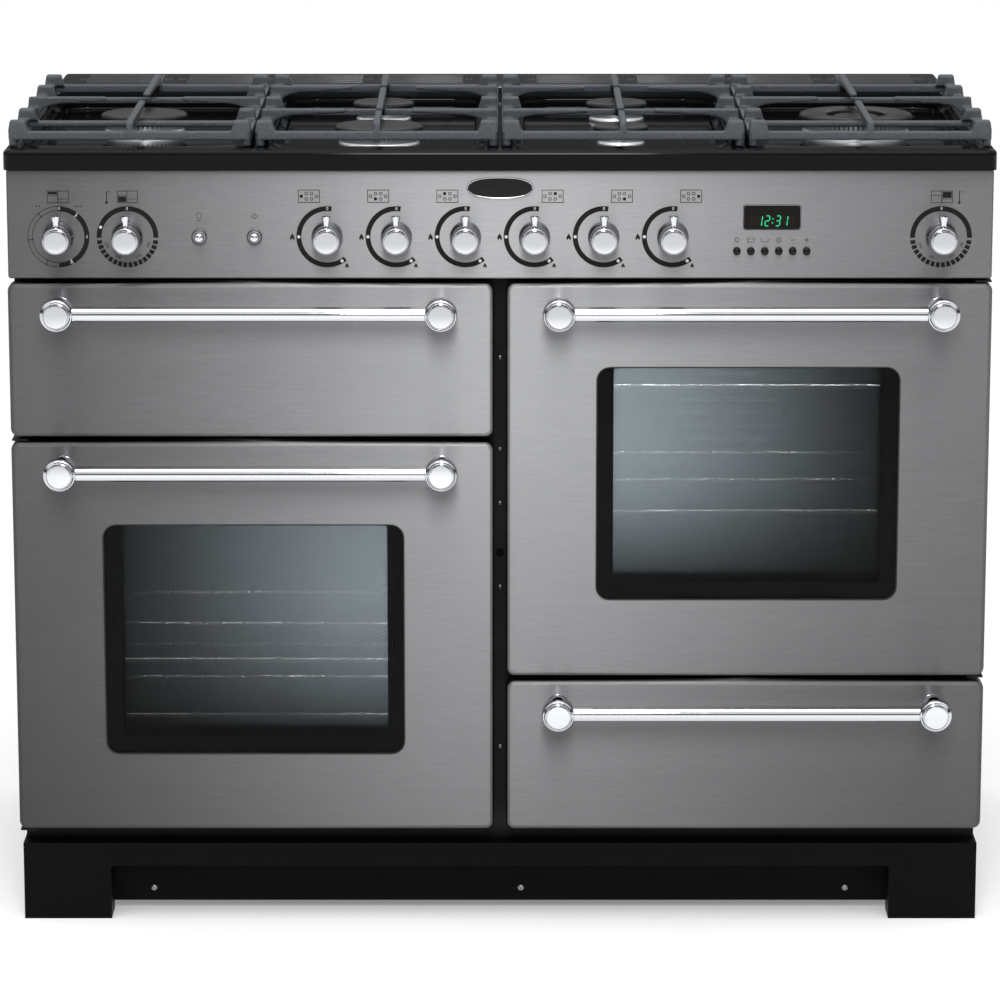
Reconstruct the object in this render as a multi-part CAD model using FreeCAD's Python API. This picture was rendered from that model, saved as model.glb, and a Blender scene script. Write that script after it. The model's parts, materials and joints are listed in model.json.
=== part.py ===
import FreeCAD, Part
import math
import os

# A 1100 mm range cooker: two side-hung ovens, a drop-door grill, a storage drawer,
# a control panel and a six-burner gas hotplate with four lift-off pan supports.
# Millimetres, +Z up, -Y is the front. The origin is the middle of the overall box, on the floor.

Vector = FreeCAD.Vector

# ---------------------------------------------------------------- driving dimensions
HOB_WIDTH = 1100.0        # across the hotplate, the widest piece
BODY_DEPTH = 600.0        # door face to the rear edge of the hotplate
HANDLE_REACH = 58.0       # door face to the front of a handle post
HOB_OVERHANG = 4.0        # hotplate front ahead of the door face
HOB_APRON = 23.0          # height of the hotplate's skirt
HOB_SHEET = 2.0           # pressed steel of the hotplate
HOB_CORNER = 12.0         # hotplate corners in plan
HOB_EDGE = 6.0            # rolled top edge of the hotplate
HOB_LIP = 15.0            # inward lip under the skirt

SHEET = 1.5               # folded steel sheet
SEAT_GAP = 0.3            # gap between a moving piece and what carries it
SHAFT_CLEARANCE = 0.05    # radial clearance of a shaft in its bore

PLINTH_HEIGHT = 90.0
PLINTH_SETBACK = 18.0     # plinth front behind the door face
PLINTH_RAIL = 27.0        # height of the rail between the legs
PLINTH_LEG_WIDTH = 100.0
PLINTH_DEPTH = 41.0       # plinth front to the kick panel's back
PLINTH_INSET = 4.0        # plinth end inside the hotplate's end
PLINTH_CORNER = 4.0       # round where a leg meets the rail
KICK_CLEARANCE = 10.0     # kick panel above the floor

DOOR_SIDE_INSET = 2.0     # door edge inside the hotplate's end
CENTRE_GAP = 14.0         # between left and right doors
DOOR_BOTTOM_GAP = 22.0    # plinth top to the lowest door
SMALL_DOOR_HEIGHT = 174.0  # grill door and drawer front
OVEN_DOOR_HEIGHT = 450.0
DOOR_GAP = 6.0            # between doors, one above the other
SKIN_DEPTH = 22.0         # stainless outer skin of a door
INNER_DEPTH = 16.0        # enamelled inner panel of a door
INNER_INSET = 5.0         # inner panel inside the skin's edge
SKIN_RETURN = 11.5        # folded return at the back of the skin
DOOR_CORNER = 9.0
DOOR_EDGE = 5.0           # rolled front edge of a door
SEAL_SPACE = 6.0          # door back to the front frame

WINDOW_WIDTH = 340.0
WINDOW_HEIGHT = 268.0
WINDOW_ABOVE = 88.0       # window above the oven door's lower edge
WINDOW_CORNER = 16.0
INNER_WINDOW_WIDTH = 299.0
INNER_WINDOW_HEIGHT = 248.0
INNER_WINDOW_CORNER = 10.0
GLASS = 4.0
GLASS_LAP = 15.0          # outer pane past the window on each side
INNER_GLASS_LAP = 12.0
TUNNEL_GAP = 2.0          # window tunnel outside the window

HANDLE_SPAN = 424.0       # between handle post centres
HANDLE_BELOW_TOP = 28.0   # handle axis below the door's top edge
HANDLE_BAR_RADIUS = 8.75
HANDLE_BAR_REACH = 40.0   # bar axis ahead of the door face
HANDLE_CAP_RADIUS = 18.4
HANDLE_FACE_RADIUS = 13.4
HANDLE_NECK_RADIUS = 12.5
HANDLE_BASE_RADIUS = 13.0
HANDLE_BASE_HEIGHT = 3.0
HANDLE_TAPER = 6.0        # length of the cap's taper, and of its rounded front
HANDLE_CAP_LEAD = 2.0     # cap behind the bar's rear
HANDLE_FACE_RISE = 1.0
BAR_SOCKET = 10.0         # bar end inside the post's side

HINGE_FROM_EDGE = 10.0    # side hinge axis from the door's outer edge
HINGE_FROM_FACE = 12.0    # every hinge axis behind the door face
HINGE_PIN_RADIUS = 4.0
HINGE_PIN_REACH = 24.0    # side hinge pin inside the door
HINGE_LEAF = 1.8          # hinge bracket sheet
HINGE_LEAF_GAP = 0.9      # bracket to door edge
HINGE_LEAF_WIDTH = 20.0
HINGE_TAB_HEIGHT = 26.0   # bracket tab on the front frame
HINGE_TAB_INSET = 1.0     # bracket tab inside the leaf's width
HINGE_BLOCK = 18.0        # block that holds a pin bore
GRILL_HINGE_RISE = 16.0   # drop hinge axis above the grill door's lower edge
GRILL_HINGE_INSET = 23.0  # drop hinge arm from the door's end
GRILL_PIN_RADIUS = 3.0
GRILL_PIN_LENGTH = 26.0
GRILL_ARM = 2.5           # drop hinge arm thickness
GRILL_ARM_HEIGHT = 12.0
GRILL_SLOT = 5.0          # slot that the arm runs in
GRILL_SLOT_RISE = 3.0     # slot top above the arm
GRILL_BLOCK = 10.8        # block beside the slot that holds the pin bore

FRAME_SHEET = 2.0
FRAME_INSET = 5.5         # frame edge inside the hotplate's end
CASING_SHEET = 1.5
BACK_SETBACK = 24.0       # back panel ahead of the hotplate's rear edge
BASE_SHEET = 2.0
BASE_FLANGE = 28.0

CAVITY_WIDTH = 420.0
CAVITY_DEPTH = 400.0
OVEN_CAVITY_HEIGHT = 385.0
CAVITY_ABOVE_DOOR = 33.0  # cavity floor above the door's lower edge
GRILL_CAVITY_HEIGHT = 125.0
GRILL_CAVITY_ABOVE_DOOR = 22.0
LINER_SHEET = 1.5
LINER_FLANGE = 10.0
SEAL_WIDTH = 8.0
SEAL_OFFSET = 2.0         # seal outside the cavity's edge
SEAL_CORNERS = (6.0, 14.0)  # inner and outer corner radii
CAVITY_CORNER = 6.5

SHELF_BASE = {"left_oven": 21.5, "right_oven": 0.0}     # cavity floor to the ladder's zero level
SHELF_PITCH = {"left_oven": 65.0, "right_oven": 72.5}   # between shelf levels
SHELF_USED = {"left_oven": (1, 2), "right_oven": (2, 4)}  # levels that hold a shelf
SHELF_LEVELS = 4
SHELF_RAIL_RADIUS = 3.0
SHELF_ROD_RADIUS = 1.6
SHELF_ROD_PITCH = 47.7
SHELF_SIDE_GAP = 9.0      # shelf edge rail to cavity wall
SHELF_FRONT_GAP = 10.0
SHELF_DEPTH = 335.0
LADDER_RADIUS = 2.5
LADDER_REACH = 7.5        # ladder rung from the cavity wall
LADDER_FRONT = 45.0       # front upright behind the cavity mouth
LADDER_STEP = 4.5         # rungs inside the uprights
LADDER_SPAN = 250.0       # between a ladder's uprights
LADDER_END = 25.0         # rungs and uprights past their last crossing
SHELF_MIDDLE_RAIL = 8.0   # middle rail behind the shelf's centre
SHELF_ROD_LEAD = 2.0      # rods ahead of the front rail's middle

PANEL_GAP = 5.0           # top door edge to control panel
PANEL_HEIGHT = 122.0
PANEL_SETBACK = 4.0       # panel face behind the door face
PANEL_INSET = 3.0         # panel end inside the hotplate's end
PANEL_CORNER = 3.0
PANEL_EDGE = 2.0          # rolled front edge of the panel
KNOB_RISE = 47.0          # knob axis above the panel's lower edge
GAS_KNOB_PITCH = 76.7
GAS_KNOB_COUNT = 6
LEFT_KNOBS = (-490.0, -413.5)   # grill control, left oven control
RIGHT_KNOB = 489.5              # right oven control
KNOB_LENGTH = 42.0
KNOB_SKIRT_RADIUS = 17.5
KNOB_CAP_RADIUS = 15.5
KNOB_FACE_RADIUS = 12.6
KNOB_GAP = 1.0            # knob skirt to the panel
KNOB_SKIRT_HEIGHT = 3.0
KNOB_WAIST_RADIUS = 13.0
KNOB_WAIST = (9.0, 24.0)  # waist's ends ahead of the panel
KNOB_CAP = (28.0, 34.0)   # cap's widest part ahead of the panel
KNOB_FACE_DEPTH = 2.0     # face edge behind the knob's front
KNOB_FACE_DOME = 0.4
POINTER_TIP = 27.0        # pointer end from the knob axis
POINTER_NECK_RADIUS = 3.1
POINTER_TIP_RADIUS = 5.2
POINTER_DEPTH = 27.0      # pointer axis ahead of the panel
POINTER_NECK = 12.0       # neck's end from the knob axis
POINTER_TIP_HEIGHT = 2.0
POINTER_TIP_ROUND = 1.5
SPINDLE_RADIUS = 3.0
SPINDLE_REACH = 12.0      # spindle ahead of the panel, inside the knob
SPINDLE_HOLE_RADIUS = 5.5
SPINDLE_INSIDE = 16.0     # spindle behind the panel face
VALVE_NOSE_RADIUS = 7.5
CONTROL_BODY = (40.0, 44.0)  # width and height of a regulator or thermostat
CONTROL_NOSE = 12.0
CONTROL_SPAN = (10.0, 38.0)  # control body behind the panel's sheet
PUSH_BUTTONS = (-333.8, -272.5)  # oven light, ignition
PUSH_RADIUS = 5.9
PUSH_PROUD = 11.0
PUSH_INSIDE = 20.0
PUSH_TRAVEL = 3.0
PUSH_DOME = ((1.0, 4.0), (0.85, 1.6), (0.5, 0.3))  # share of the radius, and depth under the top
BEZEL_RADIUS = 8.7
BEZEL_PROUD = 4.0
BEZEL_CHAMFER = 1.5
SWITCH_FLOOR = 2.0        # bore past the button's travel
SWITCH_WALL = 4.0         # switch body past its bore
CLOCK_CENTRE = 301.8
CLOCK_RISE = 69.0         # display centre above the panel's lower edge
CLOCK_WIDTH = 63.4
CLOCK_HEIGHT = 27.0
CLOCK_CORNER = 3.0
CLOCK_GLASS = 3.0
CLOCK_BUTTON_PITCH = 15.5
CLOCK_BUTTON_COUNT = 6
CLOCK_BUTTON_RISE = 31.0
CLOCK_BUTTON_RADIUS = 4.2
CLOCK_BUTTON_PROUD = 4.5
CLOCK_BUTTON_INSIDE = 6.0
CLOCK_BUTTON_TRAVEL = 1.5
CLOCK_BUTTON_CHAMFER = (1.2, 1.0)
CLOCK_MODULE_DEPTH = 30.0
CLOCK_MODULE_MARGINS = (2.0, 10.0, 6.0)  # beside the buttons, under them, over the window

SUPPORT_GAP = 4.0         # between neighbouring pan supports
SUPPORT_END_INSET = 4.5   # end support inside the hotplate's end
SUPPORT_FRONT = 25.0      # front bar centre behind the door face
SUPPORT_ROW_PITCH = 106.0
SUPPORT_CLEARANCE = 8.0   # bars above the hotplate rim
SUPPORT_BAR = 10.0        # bar width
SUPPORT_BAR_HEIGHT = 9.0
PAN_HEIGHT = 29.0         # pan level above the hotplate rim
EAR_WIDTH = 23.0
EAR_TOP_WIDTH = 18.0
EAR_DEPTH = 16.0
FINGER = 8.0              # finger thickness
FINGER_TIP = 5.0          # finger height at its tip
EAR_LEAN = 2.0            # ear top inside the rail's edge
SIDE_ROOT = 14.4          # solid foot of a side finger
SIDE_ARCH = 26.0          # run of the arch under a side finger
SIDE_ARCH_DROP = 3.0      # arch crown under the tip's underside
SIDE_ARCH_STEPS = 8
CROSS_SHOULDER = 10.0     # level foot of a front-to-back finger
CROSS_RISE = 18.0         # run of the slope after the foot
CROSS_DROP = 5.0          # slope's end under the tip's underside
CROSS_CHAMFER = (1.0, 3.0)
SUPPORT_CORNER = 5.0
SUPPORT_SIDE_SPARE = 2.0  # side rail wider than a bar
CROSS_BAR_INSET = 3.0     # middle bar's end inside the side rail
CROSS_BAR_THINNER = 1.0   # middle bar thinner on each side
CROSS_BAR_LOWER = 2.0
SIDE_TIP_GAP = (37.0, 44.0)     # side finger tips from the burner centre: paired, single
CROSS_TIP_GAP = (14.0, 33.0)    # front and rear finger tips from the burner centre
SUPPORT_FOOT_RADIUS = 5.0
SUPPORT_FOOT_INSET = 5.5

WELL_MARGIN = 12.0        # well edge inside its pan support's edge
WELL_FRONT = 28.0         # well edge behind the door face
WELL_REAR = 456.0
WELL_CORNER = 42.0
WELL_STEP = 4.0           # depth of the first step
WELL_STEP_WIDTH = 13.0
WELL_DEPTH = 12.0
WELL_EDGE = 3.0           # round where a well meets its floor

RAPID = 50.0              # burner cap radii
SEMI_RAPID = 36.3
SIMMER = 31.0
WOK = 65.5
CAP_THICKNESS = 7.0
CAP_UNDERCUT = 3.0        # cap's flat underside inside its edge
CAP_RIM = ((0.0, 2.5), (1.0, 5.0), (4.0, 6.5))  # inside the cap's radius, and height
RING_CAP_LIP = ((2.0, 5.5), (0.0, 4.0))         # outside the ring cap's hole, and height
CROWN_HEIGHT = 16.0       # crown above the well floor
CROWN_INSET = 6.0
CROWN_FLANGE = 2.0        # flange outside the crown's wall
CROWN_FLANGE_HEIGHT = 3.0
CROWN_SHOULDER = 5.0
CROWN_WALL = 6.0
CROWN_SLOPE = 2.0         # run and rise of the crown's inner slope
PORT_WIDTH = 2.2
PORT_HEIGHT = 6.0
PORT_SPACING = 9.0
CUP_DEPTH = 26.0          # burner cup under the hotplate
CUP_WALL = 4.0
CUP_FLOOR = 3.0
JET_RADIUS = 5.0
THROAT_SHARE = 0.55       # cup radius as a share of the cap's
WOK_HOLE_SHARE = 0.52     # hole in the wok burner's ring cap, as a share of the cap's radius
WOK_STEM_RADIUS = 16.0
WOK_HEAD_INSET = 8.0      # middle burner inside the ring cap's hole
WOK_CAP_INSET = 7.0
WOK_HEAD = (9.0, 6.0, 3.0)  # stem top, head's edge and head's top under the ring cap

VENT_FRONT = 479.0        # vent trim behind the door face
VENT_RISE = 13.0
VENT_END_INSET = 15.0
VENT_SLOT_LENGTH = 88.0
VENT_SLOT_WIDTH = 6.0
VENT_SLOT_PITCH = 16.0
VENT_SLOTS_ACROSS = 4
VENT_GROUP_PITCH = 122.0
VENT_GROUPS = 8
VENT_CENTRE_SPACE = 180.0  # between the two middle slot groups
VENT_CORNER = 6.0
VENT_EDGE = 4.0

DRAWER_SIDE = 41.0        # drawer tray inside its front's end
DRAWER_BELOW = 16.0       # tray floor above the drawer front's lower edge
DRAWER_TRAY_HEIGHT = 128.0
DRAWER_TRAY_DEPTH = 440.0
RUNNER = 6.0
RUNNER_HEIGHT = 20.0
RUNNER_GROOVE = 9.0
RUNNER_WALL = 2.0         # runner left behind its groove
RUNNER_END = 10.0         # runner past the tray, and tray rail inside it
TRAY_CORNER = 6.0
TRAY_MARGIN = 8.0         # drawer aperture above and below the tray

FAN_RADIUS = 70.0
FAN_BLADES = 8
FAN_WIDTH = 24.0
FAN_SHAFT_RADIUS = 4.0
FAN_COVER_SIZE = 230.0
FAN_COVER_DEPTH = 45.0
MOTOR_RADIUS = 35.0
MOTOR_LENGTH = 50.0
FAN_COVER_CORNER = 20.0
FAN_SLOT = 6.0            # height of the cover's front slots
FAN_SLOT_PITCH = 16.0
FAN_SLOTS = 7
FAN_SLOT_TURN = 0.35      # radians between slots, which shortens the outer ones
FAN_SLOT_SHARE = 0.9
SIDE_SLOT = 8.0           # height of the cover's side slots
SIDE_SLOT_PITCH = 20.0
SIDE_SLOTS = 5
SIDE_SLOT_MARGIN = 12.0
FAN_SETBACK = 10.0        # fan behind the cover's front
FAN_HUB_RADIUS = 14.0
FAN_DISC = 1.5
FAN_BLADE = 1.6
FAN_BLADE_ROOT = 10.0
SHAFT_SHARE = 0.7         # shaft's length inside the motor
SHAFT_BORE_SHARE = 0.8
SHAFT_HOLE_SPARE = 4.0    # hole in the liner wider than the shaft
MOTOR_FLANGE = (10.0, 3.0, 18.0)  # outside the motor, thickness, half height
ELEMENT_RADIUS = 3.5
ELEMENT_PITCH = 34.0      # between the grill element's runs
ELEMENT_RUNS = 10
ELEMENT_DROP = 22.0       # grill element under the cavity's roof
ELEMENT_SPAN = (60.0, 300.0)  # ends of the runs behind the cavity's mouth
ELEMENT_BEND_SPARE = 6.0
HANGER = (16.0, 4.0)      # width and thickness of a hanger strip
HANGER_RUNS = (1.5, 7.5)  # hangers' places, counted in runs
CROSS_STRIP_RUNS = (1, 8)
CROSS_STRIP = (2.0, 8.0)  # cross strip's underside and top above the element
RING_MARGIN = 16.0        # ring element outside the fan
RING_LEGS = (12.0, 15.0)  # legs beside the middle, and above the fan

FOOT_RADIUS = 20.0
FOOT_PAD = 8.0
FOOT_STEM_RADIUS = 6.0
FOOT_INSET = 66.0         # foot centre from the base pan's ends
FOOT_FRONT_INSET = 40.0
FOOT_CHAMFER = 2.0
FOOT_TAPER = 4.0
FOOT_NUT = (6.0, 12.0)    # nut outside the stem, and its height

PAN_SIDE = 22.0           # grill pan inside the cavity's wall
PAN_SPAN = (12.0, 312.0)  # grill pan behind the cavity's mouth
PAN_RISE = 22.0           # grill pan above the cavity's floor
PAN_DEPTH = 34.0
PAN_CORNER = 18.0
PAN_RIM = (6.0, 4.0)      # rim outside the pan's sides and ends
PAN_RIM_CORNER = 20.0
TRIVET_RISE = 27.0        # trivet's rails above the pan's underside
TRIVET_INSET = 12.0
TRIVET_RODS = 13
TRIVET_RADII = (2.5, 1.8)  # rails and legs, rods
TRIVET_ROD_RISE = 2.0
LEDGE_LIP = 21.7
LEDGE_STEP = 15.7
LEDGE_HEIGHTS = (29.5, 31.0)  # carrying rail above the pan's underside
LEDGE_LEAD = 4.0

RAIL_RADIUS = 6.0         # gas rail pipe
RAIL_DROP = 34.0          # rail below the knob axes
TAP_WIDTH = 24.0
TAP_FRONT = 12.0          # tap body behind the panel's sheet
TAP_BACK = 44.0
FEED_RADIUS = 3.5         # burner feed pipes
FEED_BACK = 20.0          # first feed pipe behind the panel's sheet
FEED_LANE = 9.5           # between feed pipe lanes
FEED_LANES = 3
FEED_DROP = 12.0          # top lane under the burner cups
INLET_RECESS = 2.0        # rail pipe inside the inlet body

GAS_INLET_RADIUS = 9.3    # minor radius of a half-inch parallel thread
GAS_INLET_FROM_END = 110.0
GAS_INLET_LENGTH = 16.0
GAS_INLET_BODY = 16.0
GLAND_RADIUS = 7.0
GLAND_LENGTH = 12.0
GLAND_WALL = 2.5
INLET_NUT = (5.0, 5.0)    # nut outside the inlet's body, and its thickness
INLET_SETBACK = 3.0       # inlet's mouth ahead of the rear edge
TERMINAL_BOX = ((60.0, 180.0), 2.0, (320.0, 400.0))  # X from the left end, setback from the rear, Z
TERMINAL_CORNER = 6.0
TERMINAL_WALL = 2.5
CABLE_HOLE_INSET = 8.0    # hole in the back panel inside the terminal box

# ---------------------------------------------------------------- derived places
Y_FACE = -(BODY_DEPTH + HANDLE_REACH) / 2 + HANDLE_REACH
Y_REAR = Y_FACE + BODY_DEPTH
Y_SKIN_BACK = Y_FACE + SKIN_DEPTH
Y_DOOR_BACK = Y_SKIN_BACK + INNER_DEPTH
Y_FRAME = Y_DOOR_BACK + SEAL_SPACE
Y_CAVITY = Y_FRAME + FRAME_SHEET
Y_CAVITY_BACK = Y_CAVITY + CAVITY_DEPTH
Y_PANEL = Y_FACE + PANEL_SETBACK
Y_BACK_PANEL = Y_REAR - BACK_SETBACK
Y_PLINTH = Y_FACE + PLINTH_SETBACK
Y_KICK_BACK = Y_PLINTH + PLINTH_DEPTH
Y_VENT = Y_FACE + VENT_FRONT

HALF = HOB_WIDTH / 2
DOOR_END = HALF - DOOR_SIDE_INSET
DOOR_START = CENTRE_GAP / 2
DOOR_MIDDLE = (DOOR_END + DOOR_START) / 2

Z_DOORS = PLINTH_HEIGHT + DOOR_BOTTOM_GAP
Z_DOORS_TOP = Z_DOORS + SMALL_DOOR_HEIGHT + DOOR_GAP + OVEN_DOOR_HEIGHT
Z_GRILL_DOOR = Z_DOORS_TOP - SMALL_DOOR_HEIGHT
Z_RIGHT_DOOR = Z_DOORS_TOP - OVEN_DOOR_HEIGHT
Z_PANEL = Z_DOORS_TOP + PANEL_GAP
Z_PANEL_TOP = Z_PANEL + PANEL_HEIGHT
Z_KNOB = Z_PANEL + KNOB_RISE
HOB_HEIGHT = Z_PANEL_TOP + HOB_APRON
Z_BAR = HOB_HEIGHT + SUPPORT_CLEARANCE
Z_PAN = HOB_HEIGHT + PAN_HEIGHT
Z_WELL = HOB_HEIGHT - WELL_DEPTH
SUPPORT_WIDTH = (HOB_WIDTH - 2 * SUPPORT_END_INSET - 3 * SUPPORT_GAP) / 4
SIDES = {"left": -1, "right": 1}


def span(a, b):
    """A (low, high) pair from two limits in either order."""
    return (min(a, b), max(a, b))


def inset(pair, by):
    """A (low, high) pair taken in at both ends."""
    return (pair[0] + by, pair[1] - by)


def about(middle, half):
    """A (low, high) pair around a middle."""
    return (middle - half, middle + half)


def block(x, y, z):
    """A box from three (low, high) pairs."""
    return Part.makeBox(x[1] - x[0], y[1] - y[0], z[1] - z[0], Vector(x[0], y[0], z[0]))


def rod(start, end, radius):
    """A round bar between two points."""
    a = Vector(*start)
    b = Vector(*end)
    return Part.makeCylinder(radius, (b - a).Length, a, b - a)


def edges_along(solid, axis):
    """The straight edges of a box that run along one axis."""
    found = []
    for edge in solid.Edges:
        box = edge.BoundBox
        sizes = {"x": box.XLength, "y": box.YLength, "z": box.ZLength}
        if all(sizes[other] < 0.001 for other in "xyz" if other != axis):
            found.append(edge)
    return found


def rounded_block(x, y, z, radius, along):
    """A box with its four edges along one axis rounded."""
    solid = block(x, y, z)
    return solid.makeFillet(radius, edges_along(solid, along))


def softened(solid, radius, axis, level):
    """The solid with every edge in the plane axis = level rounded."""
    chosen = []
    for edge in solid.Edges:
        box = edge.BoundBox
        low, high = {"x": (box.XMin, box.XMax), "y": (box.YMin, box.YMax), "z": (box.ZMin, box.ZMax)}[axis]
        if abs(low - level) < 0.01 and abs(high - level) < 0.01:
            chosen.append(edge)
    return solid.makeFillet(radius, chosen)


def prism(points, push):
    """A solid from a closed outline of straight sides, pushed along a vector."""
    corners = [Vector(*p) for p in points]
    outline = Part.makePolygon(corners + corners[:1])
    return Part.Face(outline).extrude(Vector(*push))


def turned(profile, origin, axis):
    """A solid of revolution. The profile is (radius, distance along the axis) pairs from axis to axis."""
    points = [Vector(r, 0, d) for r, d in profile]
    outline = Part.makePolygon(points + points[:1])
    solid = Part.Face(outline).revolve(Vector(0, 0, 0), Vector(0, 0, 1), 360)
    turn = FreeCAD.Rotation(Vector(0, 0, 1), Vector(*axis))
    solid.Placement = FreeCAD.Placement(Vector(*origin), turn)
    return solid


def export(name, *solids):
    """Writes one node, refusing a shape that isn't made of closed solids."""
    found = [s for shape in solids for s in shape.Solids]
    for number, solid in enumerate(found):
        if not solid.isValid() or solid.Volume <= 0:
            print("BAD", name, number, solid.Volume)
    shape = found[0] if len(found) == 1 else Part.makeCompound(found)
    shape.exportStep(os.path.join("parts", name + ".step"))
    print(name, len(found), "solids", round(sum(s.Volume for s in found) / 1000), "cm3")


# ---------------------------------------------------------------- doors and drawer
def door_span(side):
    """The door's (low, high) X on one side of the cooker."""
    return span(side * DOOR_START, side * DOOR_END)


def door_skin(x, z):
    """The stainless outer skin: a tray open at the back, with a folded return."""
    y = (Y_FACE, Y_SKIN_BACK)
    outer = softened(rounded_block(x, y, z, DOOR_CORNER, "y"), DOOR_EDGE, "y", Y_FACE)
    hollow = rounded_block(
        inset(x, SHEET), inset(y, SHEET), inset(z, SHEET), DOOR_CORNER - SHEET, "y"
    )
    hollow = softened(hollow, DOOR_EDGE - SHEET, "y", Y_FACE + SHEET)
    mouth = block(inset(x, SKIN_RETURN), (Y_SKIN_BACK - 2 * SHEET, Y_SKIN_BACK + 1), inset(z, SKIN_RETURN))
    return outer.cut([hollow, mouth])


def door_inner(x, z):
    """The enamelled inner panel: a shallow tray open towards the skin."""
    y = (Y_SKIN_BACK, Y_DOOR_BACK)
    x = inset(x, INNER_INSET)
    z = inset(z, INNER_INSET)
    outer = rounded_block(x, y, z, DOOR_CORNER, "y")
    hollow = rounded_block(
        inset(x, SHEET), (Y_SKIN_BACK - 1, Y_DOOR_BACK - SHEET), inset(z, SHEET), DOOR_CORNER - SHEET, "y"
    )
    return outer.cut(hollow)


def window_box(side, z_door, width, height, y):
    """The X, Y and Z spans of a window-sized box, centred on the window."""
    middle = z_door + WINDOW_ABOVE + WINDOW_HEIGHT / 2
    return about(side * DOOR_MIDDLE, width / 2), y, about(middle, height / 2)


def handle(middle, z_top):
    """A handle: one tube between two turned posts. Three solids."""
    z = z_top - HANDLE_BELOW_TOP
    y = Y_FACE - HANDLE_BAR_REACH
    ends = about(middle, HANDLE_SPAN / 2)
    reach_in = HANDLE_CAP_RADIUS - BAR_SOCKET
    bar = rod((ends[0] + reach_in, y, z), (ends[1] - reach_in, y, z), HANDLE_BAR_RADIUS)
    cap_back = HANDLE_BAR_REACH - HANDLE_BAR_RADIUS - HANDLE_CAP_LEAD
    profile = [
        (0, 0),
        (HANDLE_BASE_RADIUS, 0),
        (HANDLE_BASE_RADIUS, HANDLE_BASE_HEIGHT),
        (HANDLE_NECK_RADIUS, 2 * HANDLE_BASE_HEIGHT),
        (HANDLE_NECK_RADIUS, cap_back - HANDLE_TAPER),
        (HANDLE_CAP_RADIUS, cap_back),
        (HANDLE_CAP_RADIUS, HANDLE_REACH - HANDLE_TAPER),
        (HANDLE_FACE_RADIUS, HANDLE_REACH - HANDLE_FACE_RISE),
        (HANDLE_FACE_RADIUS / 2, HANDLE_REACH),
        (0, HANDLE_REACH),
    ]
    posts = [turned(profile, (x, Y_FACE, z), (0, -1, 0)).cut(bar) for x in ends]
    return [bar] + posts


def side_hinge_axis(side):
    """X and Y of an oven door's vertical hinge axis."""
    return side * (DOOR_END - HINGE_FROM_EDGE), Y_FACE + HINGE_FROM_FACE


def side_hinge_blocks(side, z_door):
    """Two blocks against the oven door's side wall, each with the bore that a hinge pin turns in."""
    x, y = side_hinge_axis(side)
    wall = side * (DOOR_END - SHEET)
    wide = span(wall, wall - side * HINGE_BLOCK)
    deep = (Y_FACE + DOOR_EDGE, Y_SKIN_BACK - SHEET)
    low = z_door + DOOR_CORNER
    high = z_door + OVEN_DOOR_HEIGHT - DOOR_CORNER
    bore = rod((x, y, z_door), (x, y, z_door + OVEN_DOOR_HEIGHT), HINGE_PIN_RADIUS + SHAFT_CLEARANCE)
    return [
        block(wide, deep, tall).cut(bore) for tall in ((low, low + HINGE_BLOCK), (high - HINGE_BLOCK, high))
    ]


def oven_door(side_name, z_door):
    """Skin, two glass panes, inner panel and handle of a side-hung oven door."""
    side = SIDES[side_name]
    x = door_span(side)
    z = (z_door, z_door + OVEN_DOOR_HEIGHT)
    window = rounded_block(
        *window_box(side, z_door, WINDOW_WIDTH, WINDOW_HEIGHT, (Y_FACE - 1, Y_SKIN_BACK)), WINDOW_CORNER, "y"
    )
    axis_x, axis_y = side_hinge_axis(side)
    pin_way = rod((axis_x, axis_y, z[0] - 1), (axis_x, axis_y, z[1] + 1), HINGE_PIN_RADIUS + 1)
    skin = door_skin(x, z).cut([window, pin_way])
    pane = block(*window_box(
        side, z_door, WINDOW_WIDTH + 2 * GLASS_LAP, WINDOW_HEIGHT + 2 * GLASS_LAP,
        (Y_FACE + SHEET, Y_FACE + SHEET + GLASS),
    ))
    back = Y_DOOR_BACK - SHEET
    inner_pane = rounded_block(*window_box(
        side, z_door, INNER_WINDOW_WIDTH + 2 * INNER_GLASS_LAP, INNER_WINDOW_HEIGHT + 2 * INNER_GLASS_LAP,
        (back - GLASS, back),
    ), WINDOW_CORNER, "y")
    tunnel_y = (Y_FACE + SHEET + GLASS, back)
    wide = WINDOW_WIDTH + 2 * TUNNEL_GAP
    high = WINDOW_HEIGHT + 2 * TUNNEL_GAP
    tunnel = rounded_block(*window_box(side, z_door, wide + 2 * SHEET, high + 2 * SHEET, tunnel_y),
                           WINDOW_CORNER, "y")
    tunnel = tunnel.cut(rounded_block(
        *window_box(side, z_door, wide, high, (tunnel_y[0] - 1, tunnel_y[1] + 1)), WINDOW_CORNER - SHEET, "y"
    ))
    opening = rounded_block(
        *window_box(side, z_door, INNER_WINDOW_WIDTH, INNER_WINDOW_HEIGHT, (back - 1, Y_DOOR_BACK + 1)),
        INNER_WINDOW_CORNER, "y",
    )
    inner = door_inner(x, z).fuse(tunnel).cut(opening)
    name = side_name + "_oven_door"
    export(name + "_skin", skin)
    export(name + "_glass", pane, inner_pane)
    export(name + "_inner", inner, *side_hinge_blocks(side, z_door))
    export(name + "_handle", *handle(side * DOOR_MIDDLE, z[1]))


def grill_hinge_arms():
    """X of the middle of each drop hinge arm."""
    x = door_span(-1)
    return (x[0] + GRILL_HINGE_INSET, x[1] - GRILL_HINGE_INSET)


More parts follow.
